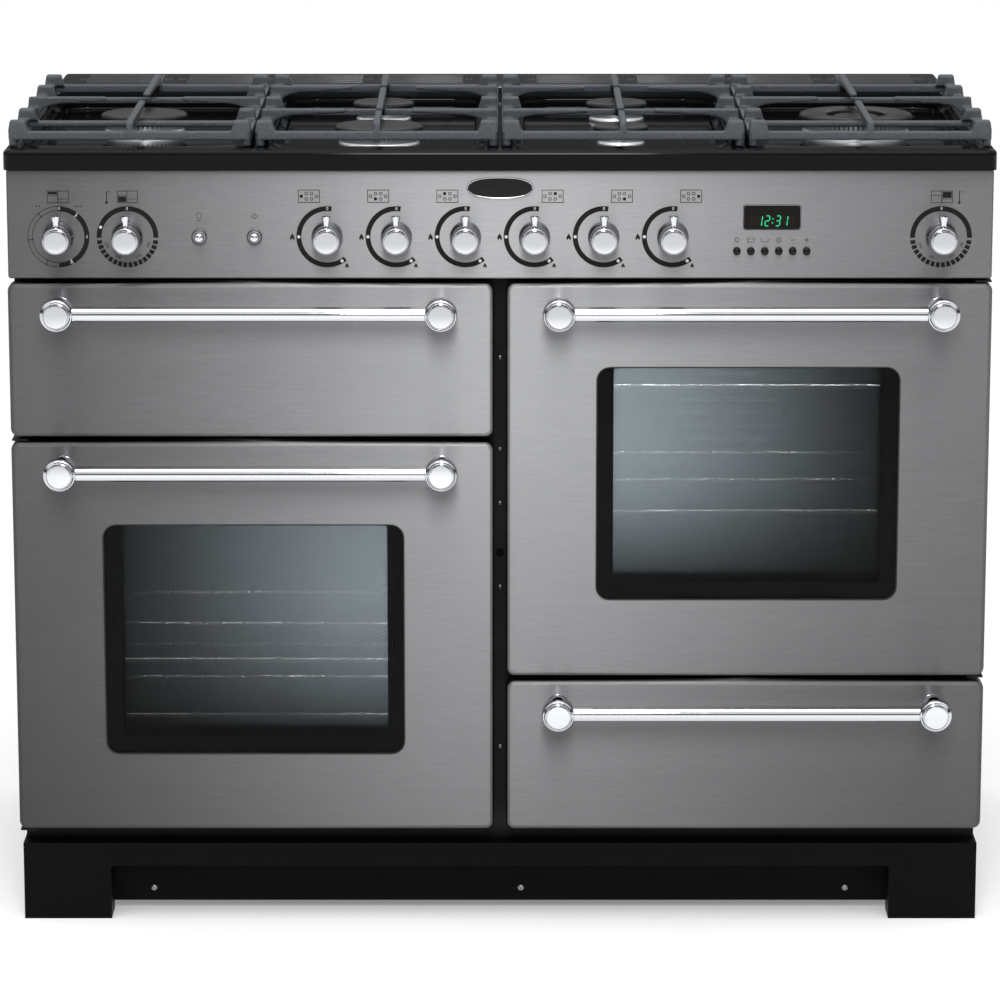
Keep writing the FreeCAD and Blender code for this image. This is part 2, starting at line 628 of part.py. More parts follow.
def grill_door():
    """The drop-down grill door, slotted at its lower corners for the hinge arms."""
    x = door_span(-1)
    z = (Z_GRILL_DOOR, Z_DOORS_TOP)
    y_axis = Y_FACE + HINGE_FROM_FACE
    z_axis = Z_GRILL_DOOR + GRILL_HINGE_RISE
    slot_top = z_axis + GRILL_ARM_HEIGHT / 2 + GRILL_SLOT_RISE
    slots = [
        block(about(arm, GRILL_SLOT / 2), (Y_FACE + 2 * SHEET, Y_DOOR_BACK + 1), (z[0] - 1, slot_top))
        for arm in grill_hinge_arms()
    ]
    blocks = []
    for arm in grill_hinge_arms():
        for way in (-1, 1):
            near = arm + way * GRILL_SLOT / 2
            body = block(
                span(near, near + way * GRILL_BLOCK),
                (Y_FACE + DOOR_EDGE - SHEET, Y_SKIN_BACK - SHEET),
                (Z_GRILL_DOOR + 2 * SHEET, slot_top + SHEET),
            )
            bore = rod((near - GRILL_PIN_LENGTH, y_axis, z_axis), (near + GRILL_PIN_LENGTH, y_axis, z_axis),
                       GRILL_PIN_RADIUS + SHAFT_CLEARANCE)
            blocks.append(body.cut(bore))
    export("grill_door_skin", door_skin(x, z).cut(slots))
    export("grill_door_inner", door_inner(x, z).cut(slots), *blocks)
    export("grill_door_handle", *handle(-DOOR_MIDDLE, Z_DOORS_TOP))


def tray_span():
    """The drawer tray's X span."""
    return (DOOR_START + DRAWER_SIDE, DOOR_END - DRAWER_SIDE)


def storage_drawer():
    """Drawer front, steel tray with side rails, and handle."""
    z = (Z_DOORS, Z_DOORS + SMALL_DOOR_HEIGHT)
    export("storage_drawer_front", door_skin(door_span(1), z), door_inner(door_span(1), z))
    x = tray_span()
    y = (Y_DOOR_BACK, Y_DOOR_BACK + DRAWER_TRAY_DEPTH)
    floor = Z_DOORS + DRAWER_BELOW
    tray = rounded_block(x, y, (floor, floor + DRAWER_TRAY_HEIGHT), TRAY_CORNER, "z")
    tray = tray.cut(rounded_block(
        inset(x, SHEET), inset(y, SHEET), (floor + SHEET, floor + DRAWER_TRAY_HEIGHT + 1),
        TRAY_CORNER - SHEET, "z",
    ))
    rail_z = about(runner_height(), RUNNER_GROOVE / 2 - SEAT_GAP)
    rails = [
        block(span(edge, edge + way * (RUNNER - RUNNER_WALL)),
              (Y_CAVITY + RUNNER_END, y[1] - RUNNER_END), rail_z)
        for edge, way in ((x[0], -1), (x[1], 1))
    ]
    export("storage_drawer_tray", tray, *rails)
    export("storage_drawer_handle", *handle(DOOR_MIDDLE, z[1]))


def runner_height():
    """Z of the middle of the drawer runners."""
    return Z_DOORS + DRAWER_BELOW + DRAWER_TRAY_HEIGHT / 2


def drawer_runners():
    """Two grooved runners fixed behind the front frame, one each side of the tray."""
    x = tray_span()
    runners = []
    for edge, way in ((x[0] - SEAT_GAP, -1), (x[1] + SEAT_GAP, 1)):
        outer = block(span(edge, edge + way * (RUNNER + RUNNER_WALL)),
                      (Y_CAVITY, Y_DOOR_BACK + DRAWER_TRAY_DEPTH + RUNNER_END),
                      about(runner_height(), RUNNER_HEIGHT / 2))
        groove = block(span(edge, edge + way * (RUNNER - RUNNER_WALL + SEAT_GAP)), (Y_CAVITY - 1, Y_REAR),
                       about(runner_height(), RUNNER_GROOVE / 2))
        runners.append(outer.cut(groove))
    export("drawer_runners", *runners)


# ---------------------------------------------------------------- cabinet
def cavity_spans(side, z_floor, height):
    """X, Y and Z spans of a cavity's inside."""
    x = about(side * DOOR_MIDDLE, CAVITY_WIDTH / 2)
    return x, (Y_CAVITY, Y_CAVITY_BACK), (z_floor, z_floor + height)


def cavities():
    """The inside of each heated cavity, by name."""
    left_floor = Z_DOORS + CAVITY_ABOVE_DOOR
    right_floor = Z_RIGHT_DOOR + CAVITY_ABOVE_DOOR
    grill_floor = Z_GRILL_DOOR + GRILL_CAVITY_ABOVE_DOOR
    return {
        "left_oven": cavity_spans(-1, left_floor, OVEN_CAVITY_HEIGHT),
        "right_oven": cavity_spans(1, right_floor, OVEN_CAVITY_HEIGHT),
        "grill": cavity_spans(-1, grill_floor, GRILL_CAVITY_HEIGHT),
    }


def liner(spans, holes=()):
    """An enamelled box open at the front, with a flange against the front frame."""
    x, y, z = spans
    shell = rounded_block(inset(x, -LINER_SHEET), (y[0], y[1] + LINER_SHEET), inset(z, -LINER_SHEET),
                          CAVITY_CORNER + LINER_SHEET, "y")
    flange = block(inset(x, -LINER_FLANGE), (y[0], y[0] + LINER_SHEET), inset(z, -LINER_FLANGE))
    hollow = rounded_block(x, (y[0] - 1, y[1]), z, CAVITY_CORNER, "y")
    return shell.fuse(flange).cut([hollow] + list(holes))


def front_frame():
    """The dark enamelled front frame with one aperture for each cavity and the drawer."""
    outer = block(about(0, HALF - FRAME_INSET), (Y_FRAME, Y_CAVITY), (PLINTH_HEIGHT, Z_PANEL))
    through = (Y_FRAME - 1, Y_CAVITY + 1)
    holes = [rounded_block(x, through, z, CAVITY_CORNER, "y") for x, y, z in cavities().values()]
    tray_x = inset(tray_span(), SEAT_GAP - RUNNER)
    tray_z = inset((Z_DOORS + DRAWER_BELOW, Z_DOORS + DRAWER_BELOW + DRAWER_TRAY_HEIGHT), -TRAY_MARGIN)
    holes.append(block(tray_x, through, tray_z))
    export("front_frame", outer.cut(holes))


def door_seals():
    """A square-section seal round each oven mouth, just clear of the door."""
    seals = []
    for name in ("left_oven", "right_oven"):
        x, _, z = cavities()[name]
        y = (Y_DOOR_BACK + SEAT_GAP, Y_FRAME)
        inside = (inset(x, -SEAL_OFFSET), inset(z, -SEAL_OFFSET))
        outside = (inset(x, -SEAL_OFFSET - SEAL_WIDTH), inset(z, -SEAL_OFFSET - SEAL_WIDTH))
        ring = rounded_block(outside[0], y, outside[1], SEAL_CORNERS[1], "y")
        seals.append(ring.cut(rounded_block(inside[0], (y[0] - 1, y[1] + 1), inside[1], SEAL_CORNERS[0], "y")))
    export("door_seals", *seals)


def hinge_brackets():
    """Brackets on the front frame: four with upright pins for the ovens, two arms for the grill door."""
    brackets = []
    for side, z_door in ((-1, Z_DOORS), (1, Z_RIGHT_DOOR)):
        x, y = side_hinge_axis(side)
        wide = about(x, HINGE_LEAF_WIDTH / 2 - HINGE_TAB_INSET)
        for edge, way in ((z_door, -1), (z_door + OVEN_DOOR_HEIGHT, 1)):
            near = edge + way * HINGE_LEAF_GAP
            far = near + way * HINGE_LEAF
            leaf = block(wide, (y - HINGE_LEAF_WIDTH / 2 + 2 * HINGE_TAB_INSET, Y_FRAME), span(near, far))
            tab = block(wide, (Y_FRAME - HINGE_LEAF, Y_FRAME), span(far, near - way * HINGE_TAB_HEIGHT))
            pin = rod((x, y, far), (x, y, edge - way * HINGE_PIN_REACH), HINGE_PIN_RADIUS)
            brackets.append(leaf.fuse([tab, pin]))
    y_axis = Y_FACE + HINGE_FROM_FACE
    z_axis = Z_GRILL_DOOR + GRILL_HINGE_RISE
    for arm in grill_hinge_arms():
        plate = block(about(arm, GRILL_ARM / 2), (y_axis - GRILL_ARM_HEIGHT / 2, Y_FRAME),
                      about(z_axis, GRILL_ARM_HEIGHT / 2))
        pin = rod((arm - GRILL_PIN_LENGTH / 2, y_axis, z_axis), (arm + GRILL_PIN_LENGTH / 2, y_axis, z_axis),
                  GRILL_PIN_RADIUS)
        brackets.append(plate.fuse(pin))
    export("hinge_brackets", *brackets)


def plinth():
    """The black plinth: a rail on two leg blocks, with a recessed kick panel between them."""
    x = about(0, HALF - PLINTH_INSET)
    y = (Y_PLINTH, Y_KICK_BACK)
    rail_z = (PLINTH_HEIGHT - PLINTH_RAIL, PLINTH_HEIGHT)
    toe = rounded_block(
        inset(x, PLINTH_LEG_WIDTH), (y[0] - 30, y[1] - BASE_SHEET), (-30, rail_z[0]), PLINTH_CORNER, "y"
    )
    under = block(inset(x, PLINTH_LEG_WIDTH), (y[0], y[1] + 1), (-1, KICK_CLEARANCE))
    body = block(x, y, (0, PLINTH_HEIGHT)).cut([toe, under])
    rail_hollow = block(inset(x, BASE_SHEET), (y[0] + BASE_SHEET, y[1] - BASE_SHEET),
                        (rail_z[0] + BASE_SHEET, rail_z[1] - BASE_SHEET))
    leg_hollows = [
        block(span(side * (x[1] - BASE_SHEET), side * (x[1] - PLINTH_LEG_WIDTH + BASE_SHEET)),
              (y[0] + BASE_SHEET, y[1] - BASE_SHEET), (BASE_SHEET, rail_z[1] - BASE_SHEET))
        for side in (-1, 1)
    ]
    export("plinth", body.cut([rail_hollow] + leg_hollows))


def base_spans():
    """X and Y spans of the base pan."""
    return about(0, HALF - FRAME_INSET), (Y_KICK_BACK, Y_BACK_PANEL + CASING_SHEET)


def base_and_feet():
    """The folded base pan and four levelling feet screwed up into it."""
    x, y = base_spans()
    z = (PLINTH_HEIGHT - BASE_FLANGE, PLINTH_HEIGHT)
    pan = block(x, y, z).cut(block(inset(x, BASE_SHEET), inset(y, BASE_SHEET), (z[0] - 1, z[1] - BASE_SHEET)))
    export("base_pan", pan)
    feet = []
    for px in inset(x, FOOT_INSET):
        for py in (y[0] + FOOT_FRONT_INSET, y[1] - FOOT_FRONT_INSET):
            top = PLINTH_HEIGHT - BASE_SHEET
            profile = [
                (0, 0), (FOOT_RADIUS - FOOT_CHAMFER, 0), (FOOT_RADIUS, FOOT_CHAMFER), (FOOT_RADIUS, FOOT_PAD),
                (FOOT_STEM_RADIUS, FOOT_PAD + FOOT_TAPER), (FOOT_STEM_RADIUS, top - FOOT_NUT[1]),
                (FOOT_STEM_RADIUS + FOOT_NUT[0], top - FOOT_NUT[1]), (FOOT_STEM_RADIUS + FOOT_NUT[0], top),
                (0, top),
            ]
            feet.append(turned(profile, (px, py, 0), (0, 0, 1)))
    export("levelling_feet", *feet)


def casing_panels():
    """Two side panels and the back panel, which stand on the plinth and the base pan."""
    outer = HALF - FRAME_INSET
    z = (PLINTH_HEIGHT, Z_PANEL_TOP)
    side_y = (Y_CAVITY, Y_BACK_PANEL + CASING_SHEET)
    panels = [block(span(side * outer, side * (outer - CASING_SHEET)), side_y, z) for side in (-1, 1)]
    back = block(about(0, outer - CASING_SHEET), (Y_BACK_PANEL, Y_BACK_PANEL + CASING_SHEET), z)
    inlet = gas_inlet_place()
    hole = rod((inlet[0], Y_BACK_PANEL - 1, inlet[2]), (inlet[0], Y_REAR, inlet[2]), GAS_INLET_BODY)
    box_hole = block(*inset_box(terminal_box(), CABLE_HOLE_INSET))
    export("casing_panels", *panels, back.cut([hole, box_hole]))


def inset_box(spans, by):
    """Box spans taken in along X and Z, and run through the back panel."""
    return inset(spans[0], by), (Y_BACK_PANEL - 1, Y_BACK_PANEL + CASING_SHEET + 1), inset(spans[2], by)


# ---------------------------------------------------------------- cavities' contents
def oven_liners():
    """Both oven boxes; the right one has a hole for the fan shaft."""
    found = cavities()
    x, y, z = found["right_oven"]
    fan_x, _, fan_z = fan_centre()
    shaft_way = rod((fan_x, y[1] - 1, fan_z), (fan_x, y[1] + LINER_SHEET + 1, fan_z),
                    FAN_SHAFT_RADIUS + SHAFT_HOLE_SPARE)
    export("oven_liners", liner(found["left_oven"]), liner(found["right_oven"], [shaft_way]))
    export("grill_liner", liner(found["grill"]))


def shelf(x, y, z):
    """A wire shelf: a rail all round, a middle rail, and rods from front to back."""
    bars = []
    for py in (y[0], (y[0] + y[1]) / 2 + SHELF_MIDDLE_RAIL, y[1]):
        bars.append(rod((x[0], py, z), (x[1], py, z), SHELF_RAIL_RADIUS))
    for px in x:
        bars.append(rod((px, y[0], z), (px, y[1], z), SHELF_RAIL_RADIUS))
        bars += [Part.makeSphere(SHELF_RAIL_RADIUS, Vector(px, py, z)) for py in y]
    count = int((x[1] - x[0]) / SHELF_ROD_PITCH)
    first = (x[0] + x[1]) / 2 - (count - 1) * SHELF_ROD_PITCH / 2
    top = z + SHELF_RAIL_RADIUS
    for number in range(count):
        px = first + number * SHELF_ROD_PITCH
        bars.append(rod((px, y[0] - SHELF_ROD_LEAD, top), (px, y[1], top), SHELF_ROD_RADIUS))
    return bars[0].fuse(bars[1:])


def shelf_height(name, level):
    """Z of the shelf wires' middle at one level of an oven."""
    return cavities()[name][2][0] + SHELF_BASE[name] + level * SHELF_PITCH[name]


def ladder(name, wall, way, y_front):
    """A side ladder: two uprights and one rung a level, hooked to the cavity wall."""
    x = wall + way * LADDER_REACH
    y = (y_front, y_front + LADDER_SPAN)
    z = (shelf_height(name, 1) - LADDER_END, shelf_height(name, SHELF_LEVELS) + LADDER_END)
    upright = x - way * LADDER_STEP
    bars = [rod((upright, py, z[0]), (upright, py, z[1]), LADDER_RADIUS) for py in y]
    for level in range(1, SHELF_LEVELS + 1):
        rung = shelf_height(name, level) - SHELF_RAIL_RADIUS - LADDER_RADIUS - SEAT_GAP
        bars.append(rod((x, y[0] - LADDER_END, rung), (x, y[1] + LADDER_END, rung), LADDER_RADIUS))
    for py in y:
        for pz in inset(z, LADDER_END / 2):
            bars.append(rod((wall, py, pz), (upright, py, pz), LADDER_RADIUS))
    return bars[0].fuse(bars[1:])


def oven_racks():
    """Two shelves and two side ladders in each oven."""
    racks = []
    for name, levels in SHELF_USED.items():
        x, y, _ = cavities()[name]
        shelf_y = (y[0] + SHELF_FRONT_GAP, y[0] + SHELF_FRONT_GAP + SHELF_DEPTH)
        for level in levels:
            racks.append(shelf(inset(x, SHELF_SIDE_GAP), shelf_y, shelf_height(name, level)))
        for wall, way in ((x[0], 1), (x[1], -1)):
            racks.append(ladder(name, wall, way, y[0] + LADDER_FRONT))
    export("oven_racks", *racks)


def fan_centre():
    """The fan axis in the right oven: X, the Y of the rear wall, and Z."""
    x, y, z = cavities()["right_oven"]
    return (x[0] + x[1]) / 2, y[1], (z[0] + z[1]) / 2


def fan_parts():
    """Slotted fan cover, bladed impeller on its shaft, and the motor behind the rear wall."""
    x, y, z = fan_centre()
    half = FAN_COVER_SIZE / 2
    front = y - FAN_COVER_DEPTH
    cover = rounded_block(about(x, half), (front, y), about(z, half), FAN_COVER_CORNER, "y")
    cover = cover.cut(rounded_block(
        about(x, half - SHEET), (front + SHEET, y + 1), about(z, half - SHEET), FAN_COVER_CORNER - SHEET, "y"
    ))
    slots = []
    for number in range(FAN_SLOTS):
        row = number - (FAN_SLOTS - 1) / 2
        length = FAN_RADIUS * math.cos(row * FAN_SLOT_TURN) * FAN_SLOT_SHARE
        level = z + row * FAN_SLOT_PITCH
        slots.append(rounded_block(about(x, length), (front - 1, front + SHEET + 1), about(level, FAN_SLOT / 2),
                                   FAN_SLOT / 2 - SHAFT_CLEARANCE, "y"))
    for edge in about(x, half):
        for number in range(SIDE_SLOTS):
            level = z + (number - (SIDE_SLOTS - 1) / 2) * SIDE_SLOT_PITCH
            slots.append(block(about(edge, SHEET + 1), (front + SIDE_SLOT_MARGIN, y - SIDE_SLOT_MARGIN),
                               about(level, SIDE_SLOT / 2)))
    export("fan_cover", cover.cut(slots))
    fan_y = (front + FAN_SETBACK, front + FAN_SETBACK + FAN_WIDTH)
    hub = rod((x, fan_y[0], z), (x, fan_y[1], z), FAN_HUB_RADIUS)
    shaft = rod((x, fan_y[0], z), (x, y + MOTOR_LENGTH * SHAFT_SHARE, z), FAN_SHAFT_RADIUS)
    disc = rod((x, fan_y[1] - FAN_DISC, z), (x, fan_y[1], z), FAN_RADIUS)
    blades = []
    for number in range(FAN_BLADES):
        blade = block((x + FAN_BLADE_ROOT, x + FAN_RADIUS), fan_y, about(z, FAN_BLADE / 2))
        blade.rotate(Vector(x, 0, z), Vector(0, 1, 0), 360.0 / FAN_BLADES * number)
        blades.append(blade)
    export("oven_fan", hub.fuse([shaft, disc] + blades))
    back = y + LINER_SHEET
    wide, thick, tall = MOTOR_FLANGE
    motor = rod((x, back, z), (x, back + MOTOR_LENGTH, z), MOTOR_RADIUS)
    flange = block(about(x, MOTOR_RADIUS + wide), (back, back + thick), about(z, tall))
    bore = (x, y + MOTOR_LENGTH * SHAFT_BORE_SHARE, z)
    export("fan_motor", motor.fuse(flange).cut(rod((x, back - 1, z), bore, FAN_SHAFT_RADIUS + SHAFT_CLEARANCE)))


def grill_element():
    """The looped element under the grill's roof, on two hangers and a cross strip."""
    x, y, z = cavities()["grill"]
    level = z[1] - ELEMENT_DROP
    near, far = (y[0] + place for place in ELEMENT_SPAN)
    first = (x[0] + x[1]) / 2 - (ELEMENT_RUNS - 1) * ELEMENT_PITCH / 2
    runs = []
    for number in range(ELEMENT_RUNS):
        px = first + number * ELEMENT_PITCH
        end = y[1] if number in (0, ELEMENT_RUNS - 1) else far
        runs.append(rod((px, near, level), (px, end, level), ELEMENT_RADIUS))
        if number < ELEMENT_RUNS - 1:
            py, way = (near, -1) if number % 2 == 0 else (far, 1)
            bend = Part.makeTorus(ELEMENT_PITCH / 2, ELEMENT_RADIUS, Vector(px + ELEMENT_PITCH / 2, py, level))
            keep = block(inset((px, px + ELEMENT_PITCH), -ELEMENT_BEND_SPARE),
                         span(py, py + way * (ELEMENT_PITCH / 2 + ELEMENT_BEND_SPARE)),
                         about(level, ELEMENT_BEND_SPARE))
            runs.append(bend.common(keep))
    strip_y = about(near + ELEMENT_SPAN[0], HANGER[1] / 2)
    strips = [block(about(first + ELEMENT_PITCH * run, HANGER[0] / 2), strip_y, (level - 1, z[1]))
              for run in HANGER_RUNS]
    cross_x = [first + ELEMENT_PITCH * run for run in CROSS_STRIP_RUNS]
    strips.append(block(cross_x, strip_y, (level + CROSS_STRIP[0], level + CROSS_STRIP[1])))
    return runs[0].fuse(runs[1:]).fuse(strips)


def ring_element():
    """The ring element round the oven fan, with its two legs through the rear wall."""
    x, y, z = fan_centre()
    ring_y = y - FAN_COVER_DEPTH / 2
    ring = Part.makeTorus(FAN_RADIUS + RING_MARGIN, ELEMENT_RADIUS, Vector(x, ring_y, z), Vector(0, 1, 0))
    top = z + FAN_RADIUS + RING_LEGS[1]
    return ring.fuse([rod((px, ring_y, top), (px, y, top), ELEMENT_RADIUS) for px in about(x, RING_LEGS[0])])


def heating_elements():
    """The grill's looped element and the fan's ring element."""
    export("heating_elements", grill_element(), ring_element())


def trivet(x, y, floor):
    """The wire grid that stands in the grill pan."""
    thick, thin = TRIVET_RADII
    level = floor + TRIVET_RISE
    bars = [rod((x[0], py, level), (x[1], py, level), thick) for py in y]
    for number in range(TRIVET_RODS):
        px = x[0] + (x[1] - x[0]) * number / (TRIVET_RODS - 1)
        bars.append(rod((px, y[0], level + TRIVET_ROD_RISE), (px, y[1], level + TRIVET_ROD_RISE), thin))
    for px in x:
        for py in y:
            bars.append(rod((px, py, floor + SHEET), (px, py, level), thick))
    return bars[0].fuse(bars[1:])


def grill_pan():
    """The grill pan on its two carrying rails, with a wire trivet in it."""
    x, y, z = cavities()["grill"]
    pan_x = inset(x, PAN_SIDE)
    pan_y = (y[0] + PAN_SPAN[0], y[0] + PAN_SPAN[1])
    floor = z[0] + PAN_RISE
    top = floor + PAN_DEPTH
    pan = rounded_block(pan_x, pan_y, (floor, top), PAN_CORNER, "z")
    rim = rounded_block(inset(pan_x, -PAN_RIM[0]), inset(pan_y, -PAN_RIM[1]), (top - SHEET, top),
                        PAN_RIM_CORNER, "z")
    pan = pan.fuse(rim).cut(rounded_block(
        inset(pan_x, SHEET), inset(pan_y, SHEET), (floor + SHEET, top + 1), PAN_CORNER - SHEET, "z"
    ))
    grid = trivet(inset(pan_x, TRIVET_INSET), inset(pan_y, TRIVET_INSET), floor)
    rails = []
    low, high = (floor + height for height in LEDGE_HEIGHTS)
    rail_y = (pan_y[0] - LEDGE_LEAD, pan_y[1])
    for wall, way in ((x[0], 1), (x[1], -1)):
        ledge = block(span(wall, wall + way * LEDGE_LIP), rail_y, (low, high))
        step = block(span(wall, wall + way * LEDGE_STEP), rail_y, (high, high + SHEET))
        rails.append(ledge.fuse(step))
    export("grill_pan", pan, grid, *rails)


# ---------------------------------------------------------------- hotplate
def support_span(index):
    """X span of one pan support, counted from the left."""
    low = -HALF + SUPPORT_END_INSET + index * (SUPPORT_WIDTH + SUPPORT_GAP)
    return (low, low + SUPPORT_WIDTH)


def support_rows():
    """Y of the five rows of a pan support, from front to rear."""
    return [Y_FACE + SUPPORT_FRONT + row * SUPPORT_ROW_PITCH for row in range(5)]


def burners():
    """Each burner's X, Y and cap radius: left, four in the middle, right."""
    rows = support_rows()
    middles = [sum(support_span(index)) / 2 for index in range(4)]
    return {
        "left": (middles[0], rows[2], RAPID),
        "front_left": (middles[1], rows[1], RAPID),
        "rear_left": (middles[1], rows[3], SEMI_RAPID),
        "rear_right": (middles[2], rows[3], SEMI_RAPID),
        "front_right": (middles[2], rows[1], SIMMER),
        "right": (middles[3], rows[2], WOK),
    }


def hotplate():
    """The pressed black hotplate: skirted top with four stepped wells and a hole for each burner."""
    x = about(0, HALF)
    y = (Y_FACE - HOB_OVERHANG, Y_REAR)
    z = (Z_PANEL_TOP, HOB_HEIGHT)
    outer = softened(rounded_block(x, y, z, HOB_CORNER, "z"), HOB_EDGE, "z", HOB_HEIGHT)
    hollow = rounded_block(
        inset(x, HOB_SHEET), inset(y, HOB_SHEET), (z[0] + HOB_SHEET, z[1] - HOB_SHEET),
        HOB_CORNER - HOB_SHEET, "z",
    )
    mouth = block(inset(x, HOB_LIP), inset(y, HOB_LIP), (z[0] - 1, z[0] + HOB_SHEET + 1))
    body = outer.cut([hollow, mouth])
    depths = ((0, WELL_STEP), (WELL_STEP_WIDTH, WELL_DEPTH))
    wells = []
    for index in range(4):
        for margin, depth in depths:
            wx = inset(support_span(index), WELL_MARGIN + margin)
            wy = inset((Y_FACE + WELL_FRONT, Y_FACE + WELL_REAR), margin)
            floor = HOB_HEIGHT - depth
            pressing = rounded_block(inset(wx, -HOB_SHEET), inset(wy, -HOB_SHEET), (floor - HOB_SHEET, z[1] - 1),
                                     WELL_CORNER - margin + HOB_SHEET, "z")
            recess = rounded_block(wx, wy, (floor, z[1] + 1), WELL_CORNER - margin, "z")
            wells.append((pressing, softened(recess, WELL_EDGE, "z", floor)))
    body = body.fuse([pressing for pressing, _ in wells]).cut([recess for _, recess in wells])
    holes = [rod((bx, by, Z_WELL - WELL_DEPTH), (bx, by, HOB_HEIGHT), radius * THROAT_SHARE)
             for bx, by, radius in burners().values()]
    return body.cut(holes)


def crown(x, y, radius, floor):
    """A burner crown on its cup: a ring with flame ports cut through its upper edge."""
    outer = radius - CROWN_INSET
    throat = radius * THROAT_SHARE - SHAFT_CLEARANCE
    bore = radius * THROAT_SHARE - CUP_WALL
    profile = [
        (throat, -CUP_DEPTH), (throat, 0), (outer + CROWN_FLANGE, 0),
        (outer + CROWN_FLANGE, CROWN_FLANGE_HEIGHT),
        (outer, CROWN_SHOULDER), (outer, CROWN_HEIGHT), (outer - CROWN_WALL, CROWN_HEIGHT),
        (outer - CROWN_WALL - CROWN_SLOPE, CROWN_SHOULDER), (bore, CROWN_SLOPE), (bore, CUP_FLOOR - CUP_DEPTH),
        (JET_RADIUS, CUP_FLOOR - CUP_DEPTH), (JET_RADIUS, -CUP_DEPTH),
    ]
    ring = turned(profile, (x, y, floor), (0, 0, 1))
    count = int(2 * math.pi * outer / PORT_SPACING)
    top = floor + CROWN_HEIGHT
    ports = []
    for number in range(count):
        port = block((x + outer - CROWN_WALL - CROWN_SLOPE - 1, x + outer + 1), about(y, PORT_WIDTH / 2),
                     (top - PORT_HEIGHT, top + 1))
        port.rotate(Vector(x, y, 0), Vector(0, 0, 1), 360.0 / count * number)
        ports.append(port)
    return ring.cut(ports)


def cap_rim(radius):
    """The outer edge of a cap's profile, from its underside to its top."""
    return [(radius - CAP_UNDERCUT, 0)] + [(radius - inside, height) for inside, height in CAP_RIM]


def cap(x, y, radius, level):
    """A black burner cap: a shallow disc with a rolled edge."""
    return turned([(0, 0)] + cap_rim(radius) + [(0, CAP_THICKNESS)], (x, y, level), (0, 0, 1))


def ring_cap(x, y, outer, inner, level):
    """The wok burner's outer cap, a ring."""
    lip = [(inner + outside, height) for outside, height in RING_CAP_LIP]
    return turned([(inner, 0)] + cap_rim(outer) + lip, (x, y, level), (0, 0, 1))


def wok_head(x, y, hole, top):
    """The wok burner's small middle burner, on a hollow stem from the cup's floor."""
    bottom = Z_WELL - CUP_DEPTH + CUP_FLOOR
    stem_top, edge, head_top = (top - bottom - under for under in WOK_HEAD)
    return turned([
        (JET_RADIUS, 0), (WOK_STEM_RADIUS, 0), (WOK_STEM_RADIUS, stem_top), (hole - WOK_HEAD_INSET, edge),
        (hole - WOK_HEAD_INSET, head_top), (JET_RADIUS, head_top),
    ], (x, y, bottom), (0, 0, 1))


def burner_parts():
    """Burner crowns and their caps. The wok burner has an outer ring cap and a small middle burner."""
    crowns = []
    caps = []
    top = Z_WELL + CROWN_HEIGHT
    for name, (x, y, radius) in burners().items():
        crowns.append(crown(x, y, radius, Z_WELL))
        if name == "right":
            hole = radius * WOK_HOLE_SHARE
            caps.append(ring_cap(x, y, radius, hole, top))
            crowns.append(wok_head(x, y, hole, top))
            caps.append(cap(x, y, hole - WOK_CAP_INSET, top - WOK_HEAD[2]))
        else:
            caps.append(cap(x, y, radius, top))
    export("burner_crowns", *crowns)
    export("burner_caps", *caps)


def ear(x, y, way):
    """A raised block on a side rail, wider at its foot. way is +1 where the rail is on its left."""
    front = y - EAR_DEPTH / 2
    low = Z_BAR + SUPPORT_BAR_HEIGHT - 1
    points = [
        (x, front, low), (x + way * EAR_WIDTH, front, low), (x + way * (EAR_TOP_WIDTH + 1), front, Z_PAN),
        (x + way * EAR_LEAN, front, Z_PAN),
    ]
    return prism(points, (0, EAR_DEPTH, 0))


def side_finger(x, y, way, tip):
    """A wing-shaped finger from a side rail to its tip, arched underneath."""
    front = y - FINGER / 2
    under = Z_PAN - FINGER_TIP
    arch = under - SIDE_ARCH_DROP - Z_BAR
    points = [(x, front, Z_BAR), (x + way * SIDE_ROOT, front, Z_BAR)]
    for step in range(1, SIDE_ARCH_STEPS + 1):
        angle = math.pi / 2 * step / SIDE_ARCH_STEPS
        run = SIDE_ROOT + SIDE_ARCH * (1 - math.cos(angle))
        points.append((x + way * run, front, Z_BAR + arch * math.sin(angle)))
    points += [(tip, front, under), (tip, front, Z_PAN), (x + way * EAR_LEAN, front, Z_PAN)]
    return prism(points, (0, FINGER, 0))


def cross_finger(x, root, tip):
    """A front-to-back finger from a bar to its tip near the burner's centre."""
    way = 1 if tip > root else -1
    side = x - FINGER / 2
    under = Z_PAN - FINGER_TIP
    back = root - way * SUPPORT_BAR / 2
    points = [
        (side, back, Z_BAR), (side, root + way * CROSS_SHOULDER, Z_BAR),
        (side, root + way * (CROSS_SHOULDER + CROSS_RISE), under - CROSS_DROP), (side, tip, under),
        (side, tip, Z_PAN), (side, back + way * CROSS_CHAMFER[0], Z_PAN),
        (side, back, Z_PAN - CROSS_CHAMFER[1]),
    ]
    return prism(points, (FINGER, 0, 0))


